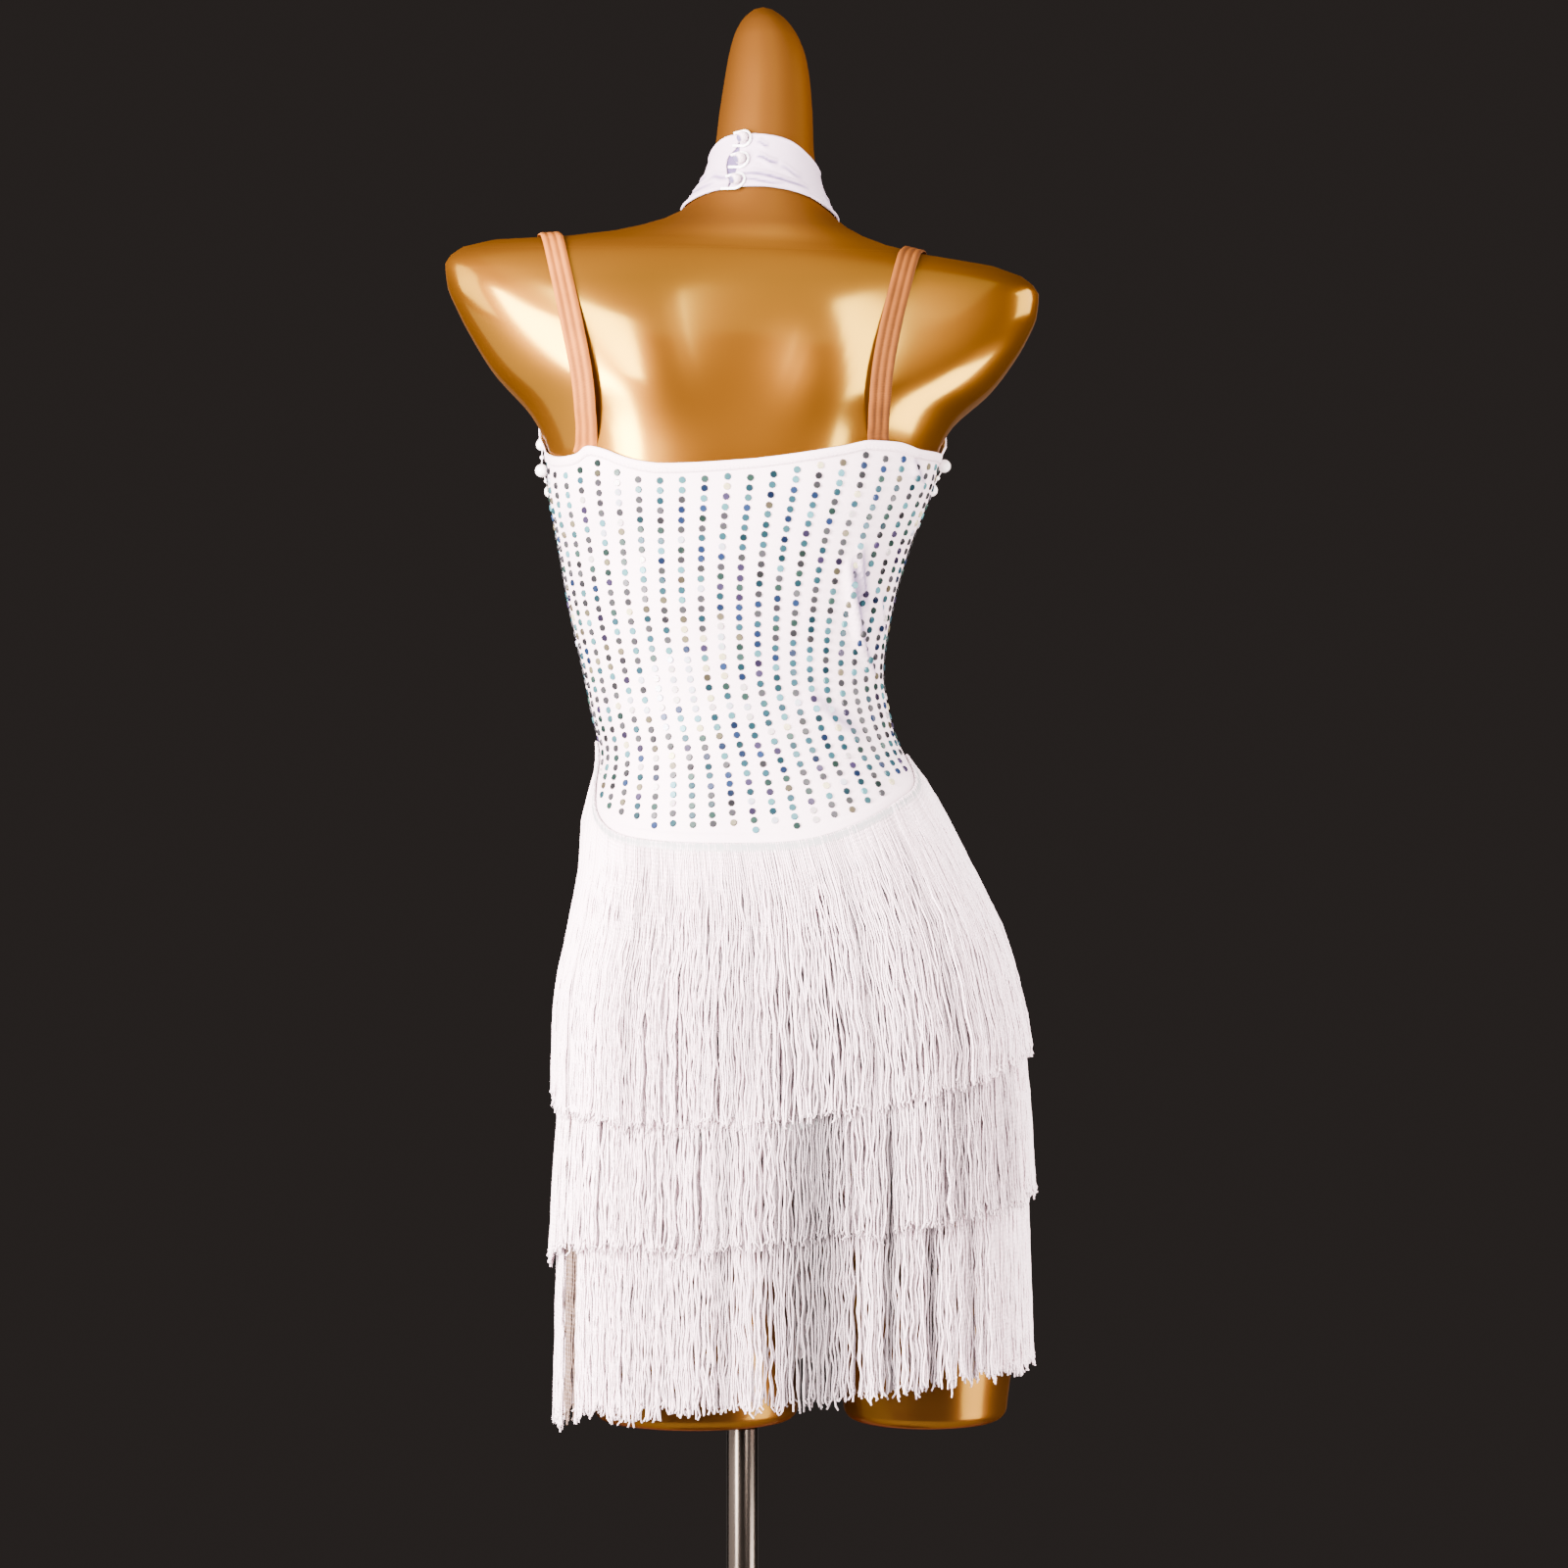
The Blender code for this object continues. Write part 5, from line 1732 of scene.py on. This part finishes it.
    def loops(self) -> Object:
        """The cord loops, each from the band's other end round its button."""
        around = math.degrees(1 / self.neck_radius)
        reach = self.button_radius + self.cord_radius + self.button_lift
        lift = self.gap + self.cloth + self.button_lift + self.cord_radius
        turns = np.linspace(-np.pi / 2, np.pi / 2, self.loop_points - 2)
        tail, spread = reach * self.loop_tail, reach * self.loop_spread
        across = np.concatenate([[-tail], reach * np.cos(turns), [-tail]])
        up = np.concatenate([[-spread], reach * np.sin(turns), [spread]])
        lines, outward = [], []
        for share in self.button_shares:
            angle, level = self.button_angle() + around * across, share + up / self.width
            lines.append(self.place(angle, level, lift))
            outward.append(self.outward(angle, level))
        piece = Piece()
        radii = np.full((len(lines), self.loop_points), self.cord_radius)
        piece.add_cords(np.array(lines), radii, np.array(outward), 10)
        return piece.make("button_loops", FringeYarn(), Slot.STRETCH, self.nodes("collar_loop"))


# ---- The straps ----


class StrapPlan(NamedTuple):
    """Where a strap runs: how far across and how high its ends and its top lie, and the tone of its painted
    shade.
    """

    name: str
    back_across: float
    back_height: float
    top_across: float
    front_across: float
    front_height: float
    front_slant: float
    shade_paint: float


@dataclass
class Straps:
    """The elastic shoulder straps, drawn tight over the form."""

    torso: Object
    width: float = 0.0155
    thick: float = 0.0013
    rib_rise: float = 0.0005
    ribs: int = 3
    rib_power: float = 0.6
    edge_power: int = 8
    edge_thick: float = 0.35
    gap: float = 0.0018
    tucked: float = 0.0002
    tuck: Pair = (0.010, 0.019)
    tucked_thick: float = 0.0008
    pivot: Pair = (-0.010, 1.300)
    ray_start: float = 0.4
    ray_turns: Triple = (208, -16, -1.5)
    sway: float = 1.6
    stand_off: float = 0.0050
    stand_off_from: Pair = (0.012, 0.040)
    stand_off_to: Pair = (1.350, 1.410)
    rows: int = 140
    columns: int = 25
    plans: tuple[StrapPlan, ...] = (
        # The last value is each strap's painted shade: the right strap is painted darker because it lies in
        # less light.
        StrapPlan("strap_left", -0.109, 1.266, -0.142, -0.085, 1.359, 0.0135, 1.0),
        StrapPlan("strap_right", 0.097, 1.271, 0.127, 0.085, 1.3575, 0.0165, 0.45),
    )

    def edge_line(self, plan: StrapPlan, side: float, surface: BVHTree) -> Array:
        """One edge of a strap, which bridges the form's hollows and bears on its bulges.

        Args:
            plan: the strap's plan.
            side: how far the edge lies to the right of its middle.
            surface: the form's surface.

        Returns:
            Evenly spaced points from its back end to its front end.
        """
        depth, height = self.pivot
        found = []
        for turn in np.radians(np.arange(*self.ray_turns)):
            direction = np.array([0.0, math.cos(turn), math.sin(turn)])
            end = plan.back_across if math.cos(turn) < 0 else plan.front_across
            share = min(1.0, abs(math.cos(turn))) ** self.sway
            across = plan.top_across + (end - plan.top_across) * share + side
            start = np.array([across, depth, height]) + direction * self.ray_start
            hit = surface.ray_cast(Vector(start), Vector(-direction))[0]
            if hit is not None:
                found.append(np.array(hit) + direction * self.gap)
        top = max(range(len(found)), key=lambda i: found[i][2])
        back = self.cut_below(found[: top + 1][::-1], plan.back_height)[::-1]
        tight: list[Array] = []
        inwards = -side / self.width * math.copysign(1, plan.front_across)
        front = self.cut_below(found[top + 1 :], plan.front_height + inwards * plan.front_slant)
        for point in back + front:
            while len(tight) > 1 and not self.bends_outward(tight[-2], tight[-1], point):
                tight.pop()
            tight.append(point)
        return spaced(np.array(tight), self.rows)

    @staticmethod
    def cut_below(line: list[Array], height: float) -> list[Array]:
        """A falling line of points, ended exactly at the given height."""
        for i, point in enumerate(line):
            if point[2] < height:
                share = (line[i - 1][2] - height) / (line[i - 1][2] - point[2])
                return line[:i] + [line[i - 1] + (point - line[i - 1]) * share]
        return line

    @staticmethod
    def bends_outward(before: Array, middle: Array, after: Array) -> bool:
        """Whether the middle point lies outside the line between the others, seen from the side."""
        first, second = middle[1:] - before[1:], after[1:] - middle[1:]
        return bool(first[0] * second[1] - first[1] * second[0] < 0)

    def build(self) -> list[Object]:
        """Both straps, ribbed along their length."""
        faces = [tuple(face.vertices) for face in self.torso.data.polygons]
        surface = BVHTree.FromPolygons([point.co for point in self.torso.data.vertices], faces)
        made = []
        for plan in self.plans:
            left, right = (self.edge_line(plan, side * self.width, surface) for side in (-0.5, 0.5))
            along = np.gradient((left + right) / 2, axis=0)
            outward = unit(np.cross(right - left, along))[:, None]
            share = np.linspace(0, 1, self.columns)[None, :, None]
            inner = left[:, None] + (right - left)[:, None] * share
            free = eased(inner[..., 2:], plan.back_height + self.tuck[0], plan.back_height + self.tuck[1])
            inner = inner - outward * (self.gap - self.tucked) * (1 - free)
            low, high = (plan.back_height + rise for rise in self.stand_off_from)
            off = eased(inner[..., 2:], low, high) * (1 - eased(inner[..., 2:], *self.stand_off_to))
            inner = inner + outward * self.stand_off * off * (inner[..., 1:2] < 0)
            edge = 1 - np.abs(2 * share - 1) ** self.edge_power
            rib = self.rib_rise * (np.abs(np.sin(np.pi * self.ribs * share)) ** self.rib_power - 0.5)
            thick = self.tucked_thick + (self.thick - self.tucked_thick + rib) * free
            outer = inner + outward * thick * (self.edge_thick + (1 - self.edge_thick) * edge)
            length = distances(inner[:, 0])
            places = np.stack(np.broadcast_arrays(share[..., 0] * self.width, length[:, None]), -1)
            piece = Piece()
            # Each strap's tone is its painted shade.
            piece.add_wall(inner, outer, places, tone=plan.shade_paint)
            made.append(piece.make(f"elastic_{plan.name}", SkinElastic(), Slot.ELASTIC, [plan.name]))
        return made


# ---- The pearls ----


class StringEnd(NamedTuple):
    """How a string of pearls ends at the underarm: where it leaves the edge, how far it stands off there,
    and where its last pearls hang."""

    name: str
    side: float
    leaves: float
    loose: float
    hanging: tuple[Triple, ...]


@dataclass
class Pearls:
    """Strings of pearls inside the front panel's armhole edges, with seed beads between them."""

    bodice: Bodice
    radius: float = 0.0049
    seed_radius: float = 0.0016
    thread_radius: float = 0.0004
    pitch: float = 0.0136
    count: int = 13
    drop: float = 0.008
    inset: float = 0.005
    path_points: int = 180
    seat: float = 0.0050
    loose_spread: float = 0.12
    pierced: float = 0.975
    pierced_depth: float = 0.05
    ends: tuple[StringEnd, ...] = (
        StringEnd("pearls_right", 0, 0.17, 0.0000, ((0.1400, 0.034, 1.2521), (0.1496, 0.033, 1.2699))),
        StringEnd("pearls_left", 180, 0.12, 0.0045, ((-0.1424, 0.030, 1.2508), (-0.1490, 0.026, 1.2660))),
    )

    def bead(self) -> Shape:
        """One pearl, pierced along its string."""
        ball = Bench.ball("pearl_pattern", 24, 16, 1.0, (0, 0, 0))
        for way in (1, -1):
            Bench.pick(ball, lambda face, way=way: face.normal.z * way > self.pierced)
            bpy.ops.transform.translate(value=(0, 0, -self.pierced_depth * way))
        Bench.finish(ball, 60.0)
        points = mesh_points(ball.data)
        corners: dict[int, list[tuple[int, ...]]] = {}
        for polygon in ball.data.polygons:
            corners.setdefault(len(polygon.vertices), []).append(tuple(polygon.vertices))
        bpy.data.objects.remove(ball)
        return Shape(points, [np.array(faces) for faces in corners.values()])

    def build(self) -> list[Object]:
        """Both strings."""
        bead = self.bead()
        figure, made = self.bodice.figure, []
        for end in self.ends:
            share = np.linspace(end.leaves, 1, self.path_points)
            angle, height = self.bodice.front_row(share, end.side, self.inset)
            clearance = self.bodice.layers.trim_in + self.seat + self.bodice.off_form(height)
            clearance = clearance + end.loose * bell(share, end.leaves, self.loose_spread)
            line = figure.lifted(angle, height - self.drop, clearance)
            outward = figure.normal(angle, height - self.drop)
            length = distances(line)
            where = np.arange(self.count) * self.pitch
            centres, directions = (sampled(values, length, where) for values in (line, outward))
            centres = np.concatenate([np.array(end.hanging), centres])
            directions = np.concatenate([directions[:1]] * len(end.hanging) + [directions])
            middles, between = ((values[1:] + values[:-1]) / 2 for values in (centres, directions))
            piece = Piece()
            beads = ((centres, directions, self.radius), (middles, between, self.seed_radius))
            for places, out, size in beads:
                frames = surface_frames(places, np.gradient(places, axis=0), out)[:, [1, 2, 0, 3]]
                frames[:, :3] *= size
                piece.add_copies(bead, frames)
            thread = spaced(centres, 60)[None]
            radii = np.full(thread.shape[:2], self.thread_radius)
            piece.add_cords(thread, radii, np.broadcast_to(outward[:1], thread.shape), 6)
            made.append(piece.make(f"{end.name}_string", PearlLustre(), Slot.PEARL, [end.name]))
        return made


# ---- The skirt ----


@dataclass
class SkirtBase:
    """The fitted skirt that the fringe is sewn to."""

    figure: Figure
    layers: Layers = Layers()
    hem_height: float = 0.782
    columns: int = 91
    rows: int = 60

    def build(self) -> list[Object]:
        """Its back and its front."""
        made = []
        for name, start, end in (("skirt_back", 180, 360), ("skirt_front", 0, 180)):
            angle = self.figure.between(start, end, self.columns, self.layers.seam_gap, self.hem_height)
            high = round_line(SEAM_LINE, angle) - self.layers.seam_gap / 2
            low = self.figure.tilted(self.hem_height, angle)
            height = low + (high - low) * np.linspace(0, 1, self.rows)[:, None]
            inner, outer = self.figure.layered(angle, height, self.layers.skin_gap, self.layers.wall_out)
            piece = Piece()
            piece.add_wall(inner, outer)
            node = name.replace("skirt", "skirt_base")
            made.append(piece.make(f"{name}_base", StretchKnit(), Slot.STRETCH, [node]))
        return made


class Tuck(NamedTuple):
    """A place round a tier where its strands end lower: degrees, half its width, and how much lower."""

    angle: float
    spread: float
    drop: float


class Furrow(NamedTuple):
    """A fold down a tier: degrees, half its width, and how deep it lies at the tier's end."""

    angle: float
    spread: float
    depth: float

    def at(self, angle: Array) -> Array:
        """How much of it there is at the given degrees, from 0 to 1."""
        return bell(turn_between(angle, self.angle), 0, self.spread)


class Wave(NamedTuple):
    """Waves along strands: how far they swing, their pitch, and how much it varies."""

    size: float
    pitch: float
    uneven: float

    def at(self, along: Array, varied: Array, phase: Array) -> Array:
        """How far they swing at lengths along each strand, which has its own pitch and phase."""
        pitch = (self.pitch + self.uneven * varied)[:, None]
        return self.size * np.sin(TURN * along / pitch + phase[:, None])


@dataclass
class Tier:
    """One tier of fringe: strands in layers, drawn into loose locks, on a heading strip."""

    figure: Figure
    node: str
    root: float | None
    end: float
    side_rise: float
    clearance: Table
    tucks: tuple[Tuck, ...] = ()
    furrows: tuple[Furrow, ...] = ()
    parting: float | None = None
    parting_from: float = 0.0
    parting_opens: float = 0.12
    parting_shove: float = 0.0024
    parting_spread: float = 1.7
    parting_left: float = 0.15
    beside_parting: float = 1.6
    # Painted shade on the innermost strands beside the parting, warmed by painted light bounced off the
    # gold form.
    parting_shade: Triple = (0.110, 0.058, 0.032)
    right_shade: float = 0.0
    strands: int = 1850
    layer_count: int = 3
    layer_gap: float = 0.0012
    root_layer_gap: float = 0.0004
    layers_open: float = 0.25
    radius: float = 0.00070
    rows: int = 18
    row_crowding: float = 0.9
    tip: float = 0.015
    tip_bend: float = 0.0013
    tip_lift: float = 0.6
    tip_flare: float = 0.12
    sides: int = 3
    lock_size: float = 11.0
    pull: float = 0.50
    pull_varies: Pair = (0.6, 0.4)
    inner_pull: float = 0.15
    pull_power: float = 1.6
    sway_power: float = 1.5
    fold_power: float = 1.3
    mean_radius: float = 0.160
    lock_wave: Wave = Wave(0.0008, 0.050, 0.012)
    strand_wave: Wave = Wave(0.00065, 0.027, 0.004)
    lock_sway: float = 0.0008
    strand_sway: float = 0.0013
    lock_proud: float = 0.0009
    strand_proud: float = 0.0003
    ragged: float = 0.0030
    own_ragged: float = 0.7
    lock_ragged: float = 0.6
    inner_short: float = 0.0015
    seam_rise: float = 0.0004
    heading: float = 0.0070
    heading_in: float = 0.0040
    heading_thick: float = 0.0014
    heading_tone: float = 0.34
    heading_rows: int = 7
    heading_step: float = 2.0
    white: Triple = (0.94, 0.745, 0.790)
    # Painted shade between the layers: the inner layers are drawn darker and the outer one brighter.
    layer_light: tuple[float, ...] = (0.36, 0.80, 1.06)
    furrow_shade: float = 0.80
    shaded_depth: float = 0.006
    shade_place: Pair = (320, 26)
    strand_varies: float = 0.13
    lock_varies: float = 0.08
    brightest: float = 1.06

    def root_height(self, angle: Array) -> Array:
        """Where the tier is sewn on."""
        if self.root is None:
            return round_line(SEAM_LINE, angle) + self.seam_rise
        return self.figure.tilted(self.root, angle)

    def end_height(self, angle: Array) -> Array:
        """Where the tier ends, with its tucks."""
        end = self.figure.tilted(self.end, angle) + self.side_rise * np.cos(np.radians(angle)) ** 2
        for tuck in self.tucks:
            end = end - tuck.drop * np.exp(-((turn_between(angle, tuck.angle) / tuck.spread) ** 4))
        return end

    def strand_lines(self, random: np.random.Generator) -> tuple[Array, Array, Array, Array]:
        """The strands' points.

        Args:
            random: the source of their unevenness.

        Returns:
            Points, radii and outward directions, strands by rows, and a tone for each strand.
        """
        count = self.strands
        share = np.append(np.linspace(0, 1, self.rows - 1) ** self.row_crowding * (1 - self.tip), 1)
        turned = np.sort((np.arange(count) + random.uniform(-0.5, 0.5, count)) * 360 / count)
        angle = turned % 360
        layer = np.arange(count) * 7 % self.layer_count
        lock = np.floor(np.cumsum(random.exponential(1, count)) / self.lock_size).astype(int)
        locks = lock.max() + 1
        centre = np.bincount(lock, turned, locks) / np.maximum(np.bincount(lock, minlength=locks), 1)
        per_lock = random.normal(0, 1, (5, locks))[:, lock]
        own = random.normal(0, 1, (6, count))

        mean, varies = self.pull_varies
        drawn = (centre[lock] - turned) * (self.mean_radius * np.radians(1))
        drawn = drawn * self.pull * (mean + varies * np.tanh(per_lock[0]))
        drawn = drawn * np.where(layer == 0, self.inner_pull, 1)
        root, end = self.root_height(angle), self.end_height(angle)
        end = end + self.ragged * (self.own_ragged * own[0] + self.lock_ragged * per_lock[1])
        end = end + self.inner_short * (self.layer_count - 1 - layer)
        height = root[:, None] + (end - root)[:, None] * share
        along = (root - end)[:, None] * share

        wave = self.lock_wave.at(along, per_lock[2], 2.2 * per_lock[3] + 0.6 * own[1])
        wave = wave + self.strand_wave.at(along, own[2], 3 * own[3])
        sway = (self.lock_sway * per_lock[4] + self.strand_sway * own[4])[:, None] * share**self.sway_power
        sideways = drawn[:, None] * share**self.pull_power + wave * np.minimum(share * 4, 1) + sway
        if self.parting is not None:
            away = turn_between(angle, self.parting)
            shove = np.sign(away) * self.parting_shove * bell(away, 0, self.parting_spread)
            shove = shove * np.where(layer == 0, self.parting_left, 1)
            opened = self.parting_from + self.parting_opens
            sideways = sideways + shove[:, None] * eased(share, self.parting_from, opened)

        spread = eased(share, 0, self.layers_open)
        gap = self.root_layer_gap + (self.layer_gap - self.root_layer_gap) * spread
        proud = smooth_line(self.clearance, share)[None] + layer[:, None] * gap + self.radius
        proud = proud + self.lock_proud * (1 + np.tanh(per_lock[3]))[:, None] * share
        proud = proud + self.strand_proud * own[5][:, None] * share + 0.5 * np.abs(wave)
        for furrow in self.furrows:
            proud = proud - furrow.depth * furrow.at(angle)[:, None] * share**self.fold_power

        spot = np.broadcast_to(angle[:, None], height.shape)
        outward = self.figure.normal(spot, height)
        flat = unit(np.cross(np.array([0, 0, 1.0]), outward))
        lines = self.figure.point(spot, height) + outward * proud[..., None] + flat * sideways[..., None]
        bend = random.normal(0, self.tip_bend, (2, count, 1))
        lines[:, -1] += flat[:, -1] * bend[0] + outward[:, -1] * np.abs(bend[1]) * self.tip_lift
        thick = self.radius * (0.95 + 0.05 * own[2][:, None]).clip(0.8, 1.1)
        thick = thick * (1 + self.tip_flare * eased(share, 0.93, 1.0))
        varied = 1 + self.strand_varies * own[5] + self.lock_varies * per_lock[0]
        return lines, thick, outward, self.tones(angle, layer, varied)

    def tones(self, angle: Array, layer: Array, varied: Array) -> Array:
        """The strands' tones.

        Args:
            angle: degrees where each strand hangs.
            layer: its layer, from 0 for the innermost.
            varied: how much brighter than its layer it is.

        Returns:
            Red, green and blue for each strand, with painted shade: darker in the inner layers, in the
            furrows, on the right-hand side and beside the parting.
        """
        bright = np.array(self.layer_light)[layer] * varied
        for furrow in self.furrows:
            depth = min(1, furrow.depth / self.shaded_depth)
            bright = bright * (1 - self.furrow_shade * furrow.at(angle) * depth)
        middle, spread = self.shade_place
        bright = bright * (1 - self.right_shade * bell(turn_between(angle, middle), 0, spread))
        tone = np.clip(np.array(self.white) * np.minimum(bright, self.brightest)[:, None], 0.02, 0.97)
        if self.parting is None:
            return tone
        beside = np.abs(turn_between(angle, self.parting)) < self.parting_spread * self.beside_parting
        return np.where((beside & (layer == 0))[:, None], np.array(self.parting_shade), tone)

    def build(self, random: np.random.Generator) -> Object:
        """The tier's strands on their heading strip."""
        piece = Piece()
        lines, thick, outward, tone = self.strand_lines(random)
        piece.add_cords(lines, thick, outward, self.sides, tone)
        angle, rows = np.arange(0, 360.0, self.heading_step), self.heading_rows
        height = self.root_height(angle) - self.heading + self.heading * np.linspace(0, 1, rows)[:, None]
        share = np.linspace(0.06, 0.94, rows)[:, None]
        roll = np.sin(np.pi * share) ** 0.5 * self.heading_thick + 0 * angle
        inner, outer = self.figure.layered(angle, height, self.heading_in, self.heading_in + roll)
        piece.add_wall(inner, outer, np.zeros((rows, angle.size + 1, 2)), wrap=True, tone=self.heading_tone)
        return piece.make(f"{self.node}_strands", FringeYarn(), Slot.FRINGE, [self.node])


def fringe_tiers(figure: Figure) -> list[Tier]:
    """The tiers, from the top."""
    return [
        Tier(
            figure, "fringe_top", None, 0.797, 0.022,
            ((0, 0.0028), (0.16, 0.0036), (0.34, 0.0044), (0.56, 0.0054), (0.78, 0.0064), (1, 0.0074)),
            tucks=(Tuck(187, 7, -0.014), Tuck(318, 8, 0.004)),
            furrows=(
                Furrow(288, 3.0, 0.0025), Furrow(262, 2.5, 0.0015), Furrow(310, 3.0, 0.0018),
                Furrow(230, 3, 0.001),
            ),
        ),
        Tier(
            figure, "fringe_middle", 0.915, 0.712, 0.0,
            ((0, 0.0026), (0.2, 0.0026), (0.45, 0.0036), (0.65, 0.0066), (1, 0.0100)),
            tucks=(Tuck(216, 26, -0.009), Tuck(185, 5, 0.004), Tuck(288, 6, 0.004), Tuck(352, 12, -0.008)),
            furrows=(
                Furrow(274, 7.5, 0.0062), Furrow(256, 2.2, 0.0024), Furrow(291, 2.0, 0.0040),
                Furrow(312, 2.4, 0.0030), Furrow(262, 2.5, -0.0020), Furrow(300, 3.5, -0.0025),
            ),
            parting=203.2,
            parting_from=0.30,
            right_shade=0.32,
        ),
        Tier(
            figure, "fringe_bottom", 0.797, 0.5965, 0.0,
            ((0, 0.0028), (0.3, 0.0044), (1, 0.0074)),
            tucks=(Tuck(213, 9, -0.008), Tuck(191, 5, 0.004), Tuck(244, 16, -0.006), Tuck(337, 3.0, 0.004)),
            furrows=(
                Furrow(274, 8.0, 0.0090), Furrow(256, 2.4, 0.0040), Furrow(291, 2.4, 0.0065),
                Furrow(303, 2.4, 0.0060), Furrow(316, 2.6, 0.0040), Furrow(262, 2.5, -0.0020),
            ),
            pull=0.22,
            lock_size=8.5,
            parting=202.0,
            parting_shove=0.0125,
            parting_spread=4.2,
            ragged=0.0036,
        ),
    ]  # fmt: skip


# ---- The studio ----


class Softbox(NamedTuple):
    """A soft light: its place, what it looks at, its width and height, its watts and its own turn."""

    name: str
    place: Triple
    target: Triple
    width: float
    height: float
    power: float
    turn: float = 0.0


@dataclass
class Studio:
    """The camera, the floor and the lights."""

    camera_place: Triple = (0.0306, -3.0, 1.0338)
    focal: float = 93.75
    sensor: float = 36.0
    floor_radius: float = 0.8
    floor_low: float = -0.0202
    floor_high: float = -0.0002
    world: tuple[float, float, float, float] = (0.025, 0.0205, 0.019, 1)
    tint: Triple = (1.0, 0.90, 0.90)
    lights: tuple[Softbox, ...] = (
        Softbox("key_left", (-1.05, -1.05, 1.33), (-0.05, -0.05, 1.25), 0.45, 1.0, 210),
        Softbox("strip_left", (-0.75, -1.49, 1.865), (-0.10, -0.09, 1.75), 0.26, 1.47, 100),
        Softbox("strip_right", (0.73, -1.51, 2.2), (0.10, -0.09, 2.0), 0.28, 2.9, 112, 8),
        Softbox("overhead", (0.0, -1.6, 3.9), (0, 0, 1.3), 4.5, 3.0, 56),
        Softbox("low_right", (1.85, -0.48, 0.05), (0.12, -0.08, 1.29), 1.05, 0.85, 118),
        Softbox("skirt_left", (-1.50, -1.67, 0.73), (0, 0, 0.88), 0.5, 0.6, 85),
        Softbox("low_left", (-2.2, -0.1, 0.1), (-0.1, 0, 1.3), 2.4, 1.7, 28),
        Softbox("side_left", (-2.6, -0.35, 1.8), (0, 0, 1.3), 1.6, 1.5, 110),
        Softbox("side_right", (2.5, 0.35, 2.1), (0, 0, 1.3), 1.6, 1.5, 125),
        Softbox("behind", (0.0, 3.4, 1.0), (0, 0, 1.0), 3.0, 2.4, 5),
    )

    def camera(self) -> None:
        """The camera, behind the dress at the height of the skirt's seam and looking along +Y."""
        lens = bpy.data.cameras.new("camera")
        lens.lens, lens.sensor_width = self.focal, self.sensor
        camera = bpy.data.objects.new("camera", lens)
        camera.location = self.camera_place
        camera.rotation_euler = (math.radians(90), 0, 0)
        bpy.context.scene.collection.objects.link(camera)
        bpy.context.scene.camera = camera

    def floor(self) -> None:
        """The plain pale floor that the stand rests on."""
        floor = Bench.cylinder("studio_floor", 96, self.floor_radius, self.floor_low, self.floor_high)
        Bench.finish(floor)
        floor.data.materials.append(StudioFloor().material())

    def light(self) -> None:
        """The soft lights and the dark room round them."""
        for box in self.lights:
            data = bpy.data.lights.new(box.name, "AREA")
            data.shape, data.size, data.size_y, data.energy = "RECTANGLE", box.width, box.height, box.power
            data.color = self.tint
            lamp = bpy.data.objects.new(box.name, data)
            lamp.location = box.place
            aim = (Vector(box.target) - Vector(box.place)).to_track_quat("-Z", "Y")
            lamp.rotation_euler = (aim @ Quaternion((0, 0, 1), math.radians(box.turn))).to_euler()
            bpy.context.scene.collection.objects.link(lamp)
        world = bpy.data.worlds.new("studio")
        world.use_nodes = True
        world.node_tree.nodes["Background"].inputs["Color"].default_value = self.world
        bpy.context.scene.world = world


def main() -> None:
    """Build and dress every piece, then the studio."""
    logging.basicConfig(level=logging.INFO, format="%(name)s: %(message)s")
    figure = Figure()
    torso = Torso(figure).build()
    stand = Stand()
    stand.pole()
    stand.foot()

    bodice = Bodice(figure)
    back, front, binding = bodice.back(), bodice.front(), bodice.back_binding()
    stones_back, stones_front = Rhinestones(figure, bodice).build()
    collar = Collar(figure)
    band, buttons, loops = collar.band(), collar.buttons(), collar.loops()
    straps = Straps(torso).build()
    pearls = Pearls(bodice).build()
    skirts = SkirtBase(figure).build()
    random = np.random.default_rng(SEED)
    tiers = [tier.build(random) for tier in fringe_tiers(figure)]

    studio = Studio()
    studio.camera()
    studio.floor()
    studio.light()


if __name__ == "__main__":
    main()
